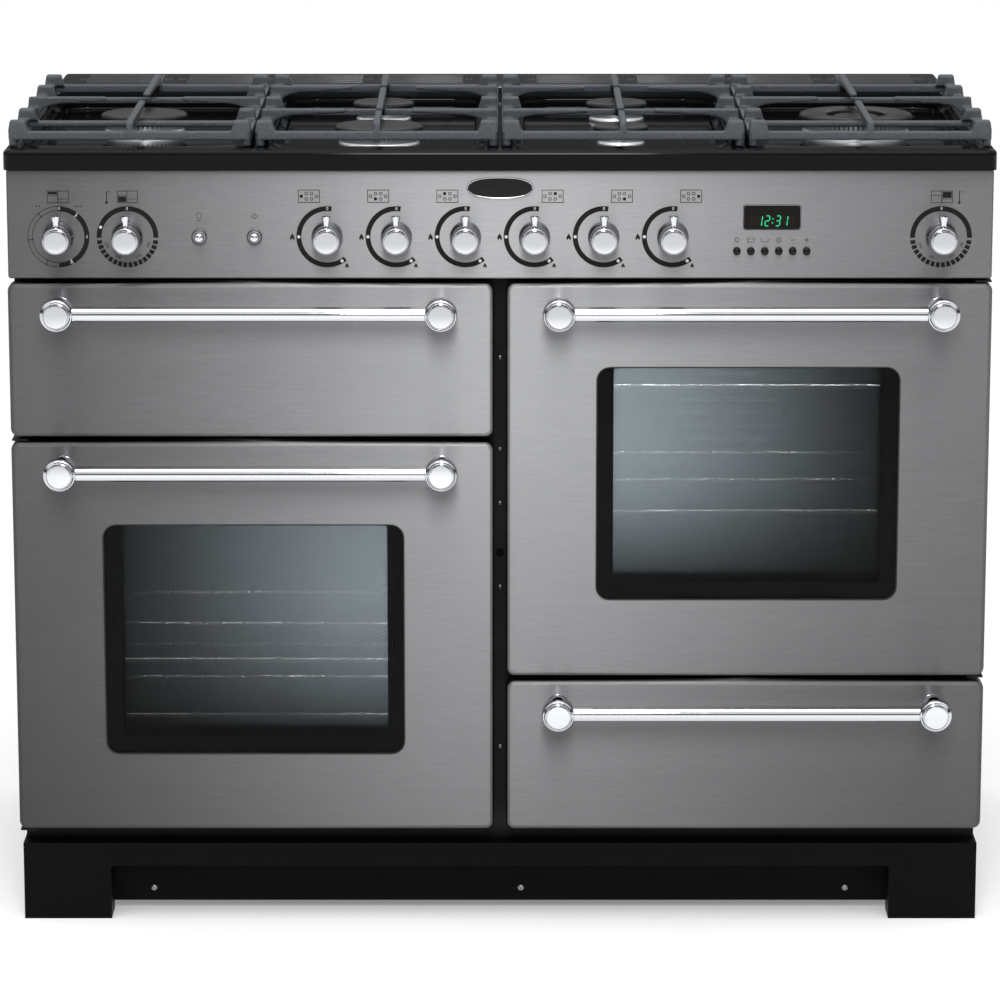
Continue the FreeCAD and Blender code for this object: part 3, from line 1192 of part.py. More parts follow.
def pan_support(index):
    """One cast support. The middle two carry two burners each; the outer two carry one."""
    paired = index in (1, 2)
    x = support_span(index)
    rows = support_rows()
    middle = sum(x) / 2
    half = SUPPORT_BAR / 2
    z = (Z_BAR, Z_BAR + SUPPORT_BAR_HEIGHT)
    outline = (rows[0] - half, rows[4] + half)
    inside = (inset(x, SUPPORT_BAR + SUPPORT_SIDE_SPARE), inset(outline, SUPPORT_BAR))
    frame = rounded_block(x, outline, z, SUPPORT_CORNER, "z").cut(block(*inside, inset(z, -1)))
    pieces = []
    cross_rows = (2,) if paired else (1, 3)
    burner_rows = (1, 3) if paired else (2,)
    for row in cross_rows:
        pieces.append(block(inset(x, CROSS_BAR_INSET), about(rows[row], half - CROSS_BAR_THINNER),
                            (z[0], z[1] - CROSS_BAR_LOWER)))
    for row in range(5):
        for edge, way in ((x[0], 1), (x[1], -1)):
            if row in burner_rows:
                tip = middle - way * SIDE_TIP_GAP[0 if paired else 1]
                pieces.append(side_finger(edge, rows[row], way, tip))
            else:
                inwards = {0: 1, 4: -1}.get(row, 0)
                pieces.append(ear(edge, rows[row] + inwards * (EAR_DEPTH / 2 - half), way))
    gap = CROSS_TIP_GAP[0 if paired else 1]
    pieces.append(cross_finger(middle, rows[0], rows[burner_rows[0]] - gap))
    pieces.append(cross_finger(middle, rows[4], rows[burner_rows[-1]] + gap))
    if paired:
        pieces.append(cross_finger(middle, rows[2], rows[1] + gap))
        pieces.append(cross_finger(middle, rows[2], rows[3] - gap))
    for px in inset(x, SUPPORT_FOOT_INSET):
        for py in inset(outline, SUPPORT_FOOT_INSET):
            pieces.append(rod((px, py, HOB_HEIGHT + SEAT_GAP), (px, py, z[0] + 1), SUPPORT_FOOT_RADIUS))
    export("pan_support_" + str(index + 1), frame.fuse(pieces).removeSplitter())


def rear_vent_trim():
    """The raised flue trim behind the pan supports, with groups of long slots."""
    x = about(0, HALF - VENT_END_INSET)
    y = (Y_VENT, Y_REAR - HOB_EDGE)
    z = (HOB_HEIGHT, HOB_HEIGHT + VENT_RISE)
    outer = softened(rounded_block(x, y, z, VENT_CORNER, "z"), VENT_EDGE, "z", z[1])
    inside = rounded_block(inset(x, SHEET), inset(y, SHEET), (z[0] - 1, z[1] - SHEET), VENT_CORNER - SHEET, "z")
    outer = outer.cut(inside)
    slots = []
    per_side = VENT_GROUPS // 2
    for side in (-1, 1):
        for group in range(per_side):
            middle = side * (VENT_CENTRE_SPACE / 2 + group * VENT_GROUP_PITCH)
            for row in range(VENT_SLOTS_ACROSS):
                level = (y[0] + y[1]) / 2 + (row - (VENT_SLOTS_ACROSS - 1) / 2) * VENT_SLOT_PITCH
                slots.append(rounded_block(about(middle, VENT_SLOT_LENGTH / 2), about(level, VENT_SLOT_WIDTH / 2),
                                           (z[0], z[1] + 1), VENT_SLOT_WIDTH / 2 - SHAFT_CLEARANCE, "z"))
    export("rear_vent_trim", outer.cut(slots))


# ---------------------------------------------------------------- control panel
def gas_knobs():
    """X of the six gas knobs, from the left."""
    first = -(GAS_KNOB_COUNT - 1) * GAS_KNOB_PITCH / 2
    return [first + number * GAS_KNOB_PITCH for number in range(GAS_KNOB_COUNT)]


def knob_places():
    """Every knob's node name and X."""
    places = {"grill_knob": LEFT_KNOBS[0], "left_oven_knob": LEFT_KNOBS[1], "right_oven_knob": RIGHT_KNOB}
    for number, x in enumerate(gas_knobs()):
        places["gas_knob_" + str(number + 1)] = x
    return places


def clock_buttons():
    """X of the six clock buttons, from the left."""
    first = CLOCK_CENTRE - (CLOCK_BUTTON_COUNT - 1) * CLOCK_BUTTON_PITCH / 2
    return [first + number * CLOCK_BUTTON_PITCH for number in range(CLOCK_BUTTON_COUNT)]


def clock_window(y, grow=0.0):
    """The display window as a solid through the given Y span."""
    return rounded_block(
        about(CLOCK_CENTRE, CLOCK_WIDTH / 2 + grow), y, about(Z_PANEL + CLOCK_RISE, CLOCK_HEIGHT / 2 + grow),
        CLOCK_CORNER + grow, "y",
    )


def control_panel():
    """The folded stainless panel, holed for spindles, buttons and display."""
    x = about(0, HALF - PANEL_INSET)
    y = (Y_PANEL, Y_CAVITY)
    z = (Z_PANEL, Z_PANEL_TOP)
    body = softened(rounded_block(x, y, z, PANEL_CORNER, "y"), PANEL_EDGE, "y", Y_PANEL)
    body = body.cut(block(inset(x, SHEET), (y[0] + SHEET, y[1] + 1), inset(z, SHEET)))
    through = (Y_PANEL - 1, Y_PANEL + SHEET + 1)
    holes = [rod((kx, through[0], Z_KNOB), (kx, through[1], Z_KNOB), SPINDLE_HOLE_RADIUS)
             for kx in knob_places().values()]
    holes += [rod((bx, through[0], Z_KNOB), (bx, through[1], Z_KNOB), BEZEL_RADIUS - BEZEL_CHAMFER)
              for bx in PUSH_BUTTONS]
    level = Z_PANEL + CLOCK_BUTTON_RISE
    holes += [rod((bx, through[0], level), (bx, through[1], level), CLOCK_BUTTON_RADIUS + SEAT_GAP)
              for bx in clock_buttons()]
    holes.append(clock_window(through))
    export("control_panel", body.cut(holes))


def knob(name, x):
    """A bell-shaped knob with a flared pointer, on its spindle."""
    profile = [
        (0, KNOB_GAP), (KNOB_SKIRT_RADIUS, KNOB_GAP), (KNOB_SKIRT_RADIUS, KNOB_GAP + KNOB_SKIRT_HEIGHT),
        (KNOB_WAIST_RADIUS, KNOB_WAIST[0]), (KNOB_WAIST_RADIUS, KNOB_WAIST[1]),
        (KNOB_CAP_RADIUS, KNOB_CAP[0]), (KNOB_CAP_RADIUS, KNOB_CAP[1]),
        (KNOB_FACE_RADIUS, KNOB_LENGTH - KNOB_FACE_DEPTH),
        (KNOB_FACE_RADIUS / 2, KNOB_LENGTH - KNOB_FACE_DOME), (0, KNOB_LENGTH),
    ]
    body = turned(profile, (x, Y_PANEL, Z_KNOB), (0, -1, 0))
    pointer = turned([
        (0, 0), (POINTER_NECK_RADIUS, 0), (POINTER_NECK_RADIUS, POINTER_NECK),
        (POINTER_TIP_RADIUS, POINTER_TIP - POINTER_TIP_HEIGHT),
        (POINTER_TIP_RADIUS - POINTER_TIP_ROUND, POINTER_TIP), (0, POINTER_TIP),
    ], (x, Y_PANEL - POINTER_DEPTH, Z_KNOB), (0, 0, 1))
    spindle = rod((x, Y_PANEL - SPINDLE_REACH, Z_KNOB), (x, Y_PANEL + SPINDLE_INSIDE, Z_KNOB), SPINDLE_RADIUS)
    export(name, body.fuse([pointer, spindle]))


def push_button(name, x):
    """A domed push button that slides in its switch body."""
    dome = [(PUSH_RADIUS * share, PUSH_PROUD - depth) for share, depth in PUSH_DOME]
    profile = [(0, -PUSH_INSIDE), (PUSH_RADIUS, -PUSH_INSIDE)] + dome + [(0, PUSH_PROUD)]
    export(name, turned(profile, (x, Y_PANEL, Z_KNOB), (0, -1, 0)))


def clock_button(name, x):
    """A small black clock button."""
    across, deep = CLOCK_BUTTON_CHAMFER
    profile = [
        (0, -CLOCK_BUTTON_INSIDE), (CLOCK_BUTTON_RADIUS, -CLOCK_BUTTON_INSIDE),
        (CLOCK_BUTTON_RADIUS, CLOCK_BUTTON_PROUD - deep), (CLOCK_BUTTON_RADIUS - across, CLOCK_BUTTON_PROUD),
        (0, CLOCK_BUTTON_PROUD),
    ]
    export(name, turned(profile, (x, Y_PANEL, Z_PANEL + CLOCK_BUTTON_RISE), (0, -1, 0)))


def spindle_bore(x):
    """The running bore behind a knob, cut from the front of its valve or control."""
    end = (x, Y_PANEL + SPINDLE_INSIDE + 1, Z_KNOB)
    return rod((x, Y_PANEL, Z_KNOB), end, SPINDLE_RADIUS + SHAFT_CLEARANCE)


def feed_pipe(tap_x, burner, lane):
    """The bent pipe from the top of a tap to one burner cup. Lanes keep neighbours apart."""
    bx, by, _ = burner
    y = Y_PANEL + SHEET + FEED_BACK + lane * FEED_LANE
    cup = Z_WELL - CUP_DEPTH
    level = cup - FEED_DROP - lane * FEED_LANE
    route = [(tap_x, y, Z_KNOB), (tap_x, y, level), (bx, y, level), (bx, by, level), (bx, by, cup)]
    pieces = [rod(a, b, FEED_RADIUS) for a, b in zip(route, route[1:])]
    return pieces + [Part.makeSphere(FEED_RADIUS, Vector(*corner)) for corner in route[1:-1]]


def gas_rail():
    """Six gas taps on one rail, a feed pipe to each burner, and the pipe from the inlet."""
    back = Y_PANEL + SHEET
    inlet = gas_inlet_place()
    rail_y = back + TAP_BACK - RAIL_RADIUS
    rail_z = inlet[2]
    corner = (inlet[0], rail_y, rail_z)
    pieces = [
        rod((gas_knobs()[0] - TAP_WIDTH, rail_y, rail_z), corner, RAIL_RADIUS),
        Part.makeSphere(RAIL_RADIUS, Vector(*corner)),
        rod(corner, (inlet[0], inlet[1] + INLET_RECESS, rail_z), RAIL_RADIUS),
    ]
    order = ("left", "front_left", "rear_left", "rear_right", "front_right", "right")
    for number, (x, name) in enumerate(zip(gas_knobs(), order)):
        pieces.append(rod((x, back, Z_KNOB), (x, back + TAP_FRONT + SHEET, Z_KNOB), VALVE_NOSE_RADIUS))
        pieces.append(block(about(x, TAP_WIDTH / 2), (back + TAP_FRONT, back + TAP_BACK),
                            (rail_z, Z_KNOB + TAP_WIDTH / 2)))
        pieces += feed_pipe(x, burners()[name], number % FEED_LANES)
    rail = pieces[0].fuse(pieces[1:])
    export("gas_rail", rail.cut([spindle_bore(x) for x in gas_knobs()]))


def switch_body(x):
    """A push button's switch: a chamfered bezel on a sleeve, bored for the button."""
    floor = Y_PANEL + PUSH_INSIDE + PUSH_TRAVEL + SWITCH_FLOOR
    bezel = turned([
        (0, 0), (BEZEL_RADIUS, 0), (BEZEL_RADIUS, BEZEL_PROUD - BEZEL_CHAMFER),
        (BEZEL_RADIUS - BEZEL_CHAMFER, BEZEL_PROUD), (0, BEZEL_PROUD),
    ], (x, Y_PANEL, Z_KNOB), (0, -1, 0))
    sleeve = rod((x, Y_PANEL, Z_KNOB), (x, floor + SWITCH_WALL, Z_KNOB), BEZEL_RADIUS - BEZEL_CHAMFER)
    bore = rod((x, Y_PANEL - BEZEL_PROUD - 1, Z_KNOB), (x, floor, Z_KNOB), PUSH_RADIUS + SHAFT_CLEARANCE)
    return bezel.fuse(sleeve).cut(bore)


def clock_module(back):
    """The clock's housing behind the panel, with wells for its six buttons and its display."""
    beside, under, over = CLOCK_MODULE_MARGINS
    level = Z_PANEL + CLOCK_BUTTON_RISE
    module = block(about(CLOCK_CENTRE, CLOCK_BUTTON_PITCH * CLOCK_BUTTON_COUNT / 2 + beside),
                   (back, back + CLOCK_MODULE_DEPTH),
                   (level - under, Z_PANEL + CLOCK_RISE + CLOCK_HEIGHT / 2 + over))
    wells = [rod((x, Y_PANEL, level), (x, Y_PANEL + CLOCK_BUTTON_INSIDE + CLOCK_BUTTON_TRAVEL + 1, level),
                 CLOCK_BUTTON_RADIUS + SHAFT_CLEARANCE) for x in clock_buttons()]
    wells.append(clock_window((Y_PANEL, Y_PANEL + SEAT_GAP + CLOCK_GLASS)))
    return module.cut(wells)


def electrical_controls():
    """Grill regulator, two oven thermostats, two switch bodies with bezels, and the clock module."""
    back = Y_PANEL + SHEET
    body_y = [back + place for place in CONTROL_SPAN]
    wide, high = CONTROL_BODY
    solids = []
    for x in LEFT_KNOBS + (RIGHT_KNOB,):
        nose = rod((x, back, Z_KNOB), (x, back + CONTROL_NOSE, Z_KNOB), VALVE_NOSE_RADIUS)
        body = block(about(x, wide / 2), body_y, about(Z_KNOB, high / 2))
        solids.append(nose.fuse(body).cut(spindle_bore(x)))
    solids += [switch_body(x) for x in PUSH_BUTTONS]
    export("electrical_controls", *solids, clock_module(back))
    export("clock_display", clock_window((Y_PANEL + SEAT_GAP, Y_PANEL + SEAT_GAP + CLOCK_GLASS)))


# ---------------------------------------------------------------- services at the back
def gas_inlet_place():
    """The inlet's X, the Y of its inner end, and Z."""
    return (HALF - GAS_INLET_FROM_END, Y_BACK_PANEL - 2 * INLET_RECESS, Z_KNOB - RAIL_DROP)


def terminal_box():
    """X, Y and Z spans of the mains terminal box on the back panel."""
    across, setback, z = TERMINAL_BOX
    return (across[0] - HALF, across[1] - HALF), (Y_BACK_PANEL + CASING_SHEET, Y_REAR - setback), z


def rear_connections():
    """The gas inlet's threaded socket, and the mains terminal box with its cable gland."""
    x, y, z = gas_inlet_place()
    mouth = Y_REAR - INLET_SETBACK
    face = Y_BACK_PANEL + CASING_SHEET
    socket = rod((x, y, z), (x, mouth, z), GAS_INLET_BODY - SEAT_GAP)
    nut = rod((x, face, z), (x, face + INLET_NUT[1], z), GAS_INLET_BODY + INLET_NUT[0])
    socket = socket.fuse(nut).cut([
        rod((x, mouth - GAS_INLET_LENGTH, z), (x, mouth + 1, z), GAS_INLET_RADIUS),
        rod((x, y - 1, z), (x, y + INLET_RECESS, z), RAIL_RADIUS + SHAFT_CLEARANCE),
    ])
    bx, by, bz = terminal_box()
    inside = block(inset(bx, TERMINAL_WALL), (by[0] - 1, by[1] - TERMINAL_WALL), inset(bz, TERMINAL_WALL))
    box = rounded_block(bx, by, bz, TERMINAL_CORNER, "y").cut(inside)
    gx = sum(bx) / 2
    gy = sum(by) / 2
    low = bz[0] - GLAND_LENGTH
    gland = rod((gx, gy, low), (gx, gy, bz[0] + 1), GLAND_RADIUS + GLAND_WALL)
    hole = rod((gx, gy, low - 1), (gx, gy, bz[0] + TERMINAL_WALL + 1), GLAND_RADIUS)
    export("rear_connections", socket, box.fuse(gland).cut(hole))


def main():
    """Builds every node into parts/."""
    os.makedirs("parts", exist_ok=True)
    plinth()
    base_and_feet()
    casing_panels()
    front_frame()
    door_seals()
    hinge_brackets()
    oven_liners()
    oven_racks()
    fan_parts()
    heating_elements()
    grill_pan()
    export("hotplate", hotplate())
    burner_parts()
    for index in range(4):
        pan_support(index)
    rear_vent_trim()
    control_panel()
    gas_rail()
    electrical_controls()
    rear_connections()
    drawer_runners()
    oven_door("left", Z_DOORS)
    oven_door("right", Z_RIGHT_DOOR)
    grill_door()
    storage_drawer()
    for name, x in knob_places().items():
        knob(name, x)
    for name, x in zip(("light_button", "ignition_button"), PUSH_BUTTONS):
        push_button(name, x)
    for number, x in enumerate(clock_buttons()):
        clock_button("clock_button_" + str(number + 1), x)


if __name__ == "__main__":
    main()
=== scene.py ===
"""Studio look of a 110 cm range cooker with two ovens, a grill, a drawer and a gas hotplate.

Sizes are millimetres of the row frame, and the finished meshes are in metres.
"""

import json
import logging
import math
from abc import ABC, abstractmethod
from dataclasses import dataclass, field
from enum import Enum
from typing import Iterable, Optional, Sequence, Union

import bmesh
import bpy
from mathutils import Matrix, Vector

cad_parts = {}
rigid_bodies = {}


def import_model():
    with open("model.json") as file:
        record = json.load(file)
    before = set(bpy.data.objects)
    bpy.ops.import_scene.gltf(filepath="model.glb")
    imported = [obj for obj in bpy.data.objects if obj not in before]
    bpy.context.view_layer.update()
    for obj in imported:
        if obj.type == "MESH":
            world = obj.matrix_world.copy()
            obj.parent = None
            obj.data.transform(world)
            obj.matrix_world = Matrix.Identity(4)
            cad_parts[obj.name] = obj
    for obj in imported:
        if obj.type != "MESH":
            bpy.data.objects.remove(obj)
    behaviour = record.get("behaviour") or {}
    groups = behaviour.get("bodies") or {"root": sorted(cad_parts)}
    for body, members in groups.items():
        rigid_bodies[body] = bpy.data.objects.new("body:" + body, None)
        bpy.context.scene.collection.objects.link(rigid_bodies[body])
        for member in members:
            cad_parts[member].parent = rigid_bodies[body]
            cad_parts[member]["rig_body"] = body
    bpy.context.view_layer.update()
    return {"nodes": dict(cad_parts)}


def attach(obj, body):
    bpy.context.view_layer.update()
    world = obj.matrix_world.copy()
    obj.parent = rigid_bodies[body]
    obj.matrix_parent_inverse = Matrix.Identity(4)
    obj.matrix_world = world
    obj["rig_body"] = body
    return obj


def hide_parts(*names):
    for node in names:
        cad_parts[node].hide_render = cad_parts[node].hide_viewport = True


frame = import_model()

LOG = logging.getLogger("range_cooker")
MM = 0.001
ON_AXIS = 1e-6

Point = Sequence[float]
Profile = Sequence[tuple[float, float]]
Colour = tuple[float, float, float]

# Places that several sub-assemblies share, in millimetres.
Y_FACE = -271.0
Y_PANEL = -267.0
Y_FRAME = -227.0
Y_KICK = -214.0
Y_BACK_PANEL = 306.5
HALF = 550.0
DOOR_MIDDLE = 277.5
Z_KNOB = 794.0
Z_WELL = 880.0


class Axis(Enum):
    """Directions that a turned piece can stand in."""

    FRONT = (0.0, -1.0, 0.0)
    BACK = (0.0, 1.0, 0.0)
    UP = (0.0, 0.0, 1.0)
    RIGHT = (1.0, 0.0, 0.0)
    LEFT = (-1.0, 0.0, 0.0)

    @property
    def vector(self) -> Vector:
        """The direction as a unit vector."""
        return Vector(self.value)


# ---------------------------------------------------------------- finishes
def shade(colour: Colour, factor: float) -> Colour:
    """A colour made darker or paler."""
    return tuple(channel * factor for channel in colour)


def fill_ramp(ramp: bpy.types.ColorRamp, interpolation: str, stops: Profile, blue: float = 1.0) -> None:
    """Sets a ramp's stops, given as (place, grey level), with blue times as much blue."""
    ramp.interpolation = interpolation
    while len(ramp.elements) < len(stops):
        ramp.elements.new(0.5)
    for element, (where, level) in zip(ramp.elements, stops):
        element.position = where
        element.color = (level, level, level * blue, 1.0)


class Recipe:
    """The node tree of one material, around its Principled shader."""

    def __init__(self, name: str) -> None:
        """Starts a material with a plain Principled shader."""
        self.material = bpy.data.materials.new(name)
        self.material.use_nodes = True
        self.tree = self.material.node_tree
        self.shader = self.tree.nodes["Principled BSDF"]

    def set(self, **values: float) -> None:
        """Sets constant values on the shader's own sockets, named with _ for a space."""
        for key, value in values.items():
            self.shader.inputs[key.replace("_", " ")].default_value = value

    def node(self, kind: str, **settings: object) -> bpy.types.Node:
        """Adds a node and sets its properties."""
        made = self.tree.nodes.new(kind)
        for key, value in settings.items():
            setattr(made, key, value)
        return made

    def link(self, start: bpy.types.NodeSocket, end: bpy.types.NodeSocket) -> None:
        """Joins two sockets."""
        self.tree.links.new(start, end)

    def feed(self, start: bpy.types.NodeSocket, name: str) -> None:
        """Joins a socket to one of the shader's inputs."""
        self.link(start, self.shader.inputs[name])

    def place(self, stretch: Point = (1.0, 1.0, 1.0)) -> bpy.types.NodeSocket:
        """Object coordinates in metres, stretched.

        Args:
            stretch: how much each axis is scaled before the pattern reads it.

        Returns:
            The vector socket.
        """
        coords = self.node("ShaderNodeTexCoord")
        mapping = self.node("ShaderNodeMapping")
        mapping.inputs["Scale"].default_value = stretch
        self.link(coords.outputs["Object"], mapping.inputs["Vector"])
        return mapping.outputs["Vector"]

    def axes(self) -> Sequence[bpy.types.NodeSocket]:
        """The object coordinates in metres, as three values."""
        made = self.node("ShaderNodeSeparateXYZ")
        self.link(self.place(), made.inputs[0])
        return made.outputs

    def noise(self, scale: float, stretch: Point = (1.0, 1.0, 1.0),
              detail: float = 3.0) -> bpy.types.NodeSocket:
        """A noise value from 0 to 1, at a scale per metre."""
        made = self.node("ShaderNodeTexNoise")
        made.inputs["Scale"].default_value = scale
        made.inputs["Detail"].default_value = detail
        self.link(self.place(stretch), made.inputs["Vector"])
        return made.outputs["Fac"]

    def cells(self, scale: float, output: str = "Distance") -> bpy.types.NodeSocket:
        """A value or colour of cells, at a scale per metre."""
        made = self.node("ShaderNodeTexVoronoi")
        made.inputs["Scale"].default_value = scale
        self.link(self.place(), made.inputs["Vector"])
        return made.outputs[output]

    def spread(self, value: bpy.types.NodeSocket, source: Point, target: Point) -> bpy.types.NodeSocket:
        """A value moved from one range to another and kept inside it."""
        made = self.node("ShaderNodeMapRange")
        for number, limit in zip((1, 2, 3, 4), (*source, *target)):
            made.inputs[number].default_value = limit
        self.link(value, made.inputs[0])
        return made.outputs[0]

    def blend(self, share: bpy.types.NodeSocket, low: Colour, high: Colour) -> bpy.types.NodeSocket:
        """A colour between two, by a share from 0 to 1."""
        made = self.node("ShaderNodeMix", data_type="RGBA")
        made.inputs[6].default_value = (*low, 1.0)
        made.inputs[7].default_value = (*high, 1.0)
        self.link(share, made.inputs[0])
        return made.outputs[2]

    def times(self, colour: bpy.types.NodeSocket, factor: bpy.types.NodeSocket) -> bpy.types.NodeSocket:
        """A colour multiplied by a value."""
        made = self.node("ShaderNodeVectorMath", operation="SCALE")
        self.link(colour, made.inputs[0])
        self.link(factor, made.inputs["Scale"])
        return made.outputs[0]

    def curve(self, value: bpy.types.NodeSocket, stops: Profile) -> bpy.types.NodeSocket:
        """A grey value read from a smooth ramp of (place, value) stops."""
        made = self.node("ShaderNodeValToRGB")
        fill_ramp(made.color_ramp, "B_SPLINE", stops)
        self.link(value, made.inputs[0])
        return made.outputs[0]

    def pair(self, operation: str, first: bpy.types.NodeSocket,
             second: Union[bpy.types.NodeSocket, float]) -> bpy.types.NodeSocket:
        """Two values put together by a math operation."""
        made = self.node("ShaderNodeMath", operation=operation)
        self.link(first, made.inputs[0])
        if isinstance(second, float):
            made.inputs[1].default_value = second
        else:
            self.link(second, made.inputs[1])
        return made.outputs[0]

    def gloss(self, value: bpy.types.NodeSocket, source: Point, low: float, high: float) -> None:
        """Feeds a roughness that goes from low to high with a value."""
        self.feed(self.spread(value, source, (low, high)), "Roughness")

    def bump(self, height: bpy.types.NodeSocket, strength: float, depth_mm: float) -> None:
        """Feeds a bump to the shader."""
        made = self.node("ShaderNodeBump")
        made.inputs["Strength"].default_value = strength
        made.inputs["Distance"].default_value = depth_mm * MM
        self.link(height, made.inputs["Height"])
        self.feed(made.outputs["Normal"], "Normal")


@dataclass(frozen=True)
class Finish(ABC):
    """A surface finish, which makes its material once."""

    name: str

    def material(self) -> bpy.types.Material:
        """The finish's material, made at its first use."""
        known = bpy.data.materials.get(self.name)
        if known is not None:
            return known
        recipe = Recipe(self.name)
        self.mix(recipe)
        return recipe.material

    @abstractmethod
    def mix(self, recipe: Recipe) -> None:
        """Builds the node tree."""


@dataclass(frozen=True)
class BrushedSteel(Finish):
    """Stainless sheet with a fine horizontal grain, so that highlights spread up and down."""

    colour: Colour = (0.275, 0.278, 0.283)
    roughness: float = 0.46
    anisotropy: float = 0.92
    grain_height: float = 620.0
    grain_length: float = 38.0

    def mix(self, recipe: Recipe) -> None:
        """Horizontal grain in colour, roughness and bump, over a painted reflection and painted shade: paler
        in the middle, darker towards the sides and the bottom.
        """
        recipe.set(Metallic=1.0, Anisotropic=self.anisotropy, Anisotropic_Rotation=0.25)
        fine = recipe.noise(1.0, (self.grain_length, self.grain_length, self.grain_height), 2.0)
        broad = recipe.noise(1.0, (9.0, 9.0, 190.0), 3.0)
        tone = recipe.blend(fine, shade(self.colour, 0.84), shade(self.colour, 1.16))
        tone = recipe.times(tone, recipe.spread(broad, (0.25, 0.75), (0.985, 1.015)))
        axes = recipe.axes()
        across = recipe.spread(axes[0], (-HALF * MM, HALF * MM), (0.0, 1.0))
        # Painted reflection: the colour is palest in the middle of the cooker's width and darker towards both
        # sides, most at the left.
        painted_reflection = recipe.curve(across, ((0.0, 0.4), (0.25, 0.67), (0.5, 0.95), (0.75, 0.75), (1.0, 0.64)))
        # Painted shade: the colour darkens towards the bottom of the cooker.
        up = recipe.spread(axes[2], (0.1, 0.6), (0.6, 1.0))
        recipe.feed(recipe.times(recipe.times(tone, painted_reflection), up), "Base Color")
        recipe.gloss(fine, (0.2, 0.8), self.roughness - 0.04, self.roughness + 0.04)
        tangent = recipe.node("ShaderNodeTangent", direction_type="RADIAL", axis="Z")
        recipe.feed(tangent.outputs[0], "Tangent")
        recipe.bump(fine, 0.05, 0.05)


@dataclass(frozen=True)
class Plating(Finish):
    """Polished plating with faint smears and dust."""

    colour: Colour = (0.67, 0.68, 0.7)
    roughness: float = 0.045
    smear: float = 0.05

    def mix(self, recipe: Recipe) -> None:
        """Roughness varies with smears, and the tone a little with it."""
        recipe.set(Metallic=1.0)
        smears = recipe.noise(38.0, detail=5.0)
        dust = recipe.noise(900.0, detail=1.0)
        recipe.gloss(smears, (0.4, 0.8), self.roughness, self.roughness + self.smear)
        clean = recipe.spread(dust, (0.3, 0.7), (0.0, 1.0))
        recipe.feed(recipe.blend(clean, shade(self.colour, 0.9), self.colour), "Base Color")


@dataclass(frozen=True)
class Enamel(Finish):
    """Fired or painted coat: flecks in the colour, a slight orange peel and a clear gloss."""

    colour: Colour = (0.012, 0.012, 0.013)
    fleck: Colour = (0.05, 0.05, 0.055)
    fleck_share: float = 0.1
    roughness: float = 0.2
    coat: float = 0.0
    peel: float = 0.06
    peel_scale: float = 420.0
    fleck_scale: float = 1400.0
    shine: float = 0.2

    def mix(self, recipe: Recipe) -> None:
        """Flecks from fine cells, and peel from noise."""
        recipe.set(Coat_Weight=self.coat, Coat_Roughness=0.04, Specular_IOR_Level=self.shine)
        flecks = recipe.cells(self.fleck_scale)
        share = recipe.spread(flecks, (self.fleck_share, self.fleck_share + 0.12), (1.0, 0.0))
        recipe.feed(recipe.blend(share, self.colour, self.fleck), "Base Color")
        worn = recipe.noise(24.0, detail=4.0)
        recipe.gloss(worn, (0.3, 0.75), self.roughness * 0.85, self.roughness * 1.25)
        recipe.bump(recipe.noise(self.peel_scale, detail=2.0), self.peel, 0.12)


@dataclass(frozen=True)
class Casting(Finish):
    """Enamelled cast iron: a pebbled skin with paler high spots."""

    colour: Colour = (0.02, 0.024, 0.028)
    pale: Colour = (0.084, 0.098, 0.112)
    roughness: float = 0.36

    def mix(self, recipe: Recipe) -> None:
        """Sand grain in bump and colour, and a slow change of gloss."""
        grain = recipe.noise(1500.0, detail=2.0)
        coarse = recipe.noise(420.0, detail=3.0)
        share = recipe.spread(grain, (0.35, 0.72), (0.0, 1.0))
        recipe.feed(recipe.blend(share, self.colour, self.pale), "Base Color")
        recipe.gloss(coarse, (0.3, 0.7), self.roughness - 0.1, self.roughness + 0.1)
        recipe.bump(recipe.pair("ADD", grain, coarse), 0.9, 0.45)


@dataclass(frozen=True)
class Spangle(Finish):
    """Zinc-coated sheet with its crystal pattern."""

    colour: Colour = (0.42, 0.43, 0.44)
    roughness: float = 0.36

    def mix(self, recipe: Recipe) -> None:
        """Each crystal has its own tone and gloss."""
        recipe.set(Metallic=1.0)
        tone = recipe.node("ShaderNodeSeparateColor")
        recipe.link(recipe.cells(95.0, "Color"), tone.inputs[0])
        recipe.feed(recipe.blend(tone.outputs[0], shade(self.colour, 0.8), self.colour), "Base Color")
        recipe.gloss(tone.outputs[1], (0.0, 1.0), self.roughness - 0.07, self.roughness + 0.1)
        recipe.bump(recipe.noise(160.0), 0.05, 0.1)


@dataclass(frozen=True)
class Metal(Finish):
    """Bare worked metal: fine tool marks and a little staining."""

    colour: Colour = (0.5, 0.5, 0.5)
    stain: Colour = (0.3, 0.3, 0.3)
    roughness: float = 0.35
    scale: float = 600.0
    metallic: float = 1.0

    def mix(self, recipe: Recipe) -> None:
        """Marks in roughness and bump, stains in the colour."""
        recipe.set(Metallic=self.metallic)
        stains = recipe.noise(60.0, detail=4.0)
        stained = recipe.spread(stains, (0.45, 0.75), (0.0, 1.0))
        recipe.feed(recipe.blend(stained, self.colour, self.stain), "Base Color")
        marks = recipe.noise(self.scale, detail=2.0)
        recipe.gloss(marks, (0.3, 0.7), self.roughness - 0.06, self.roughness + 0.1)
        recipe.bump(marks, 0.12, 0.08)


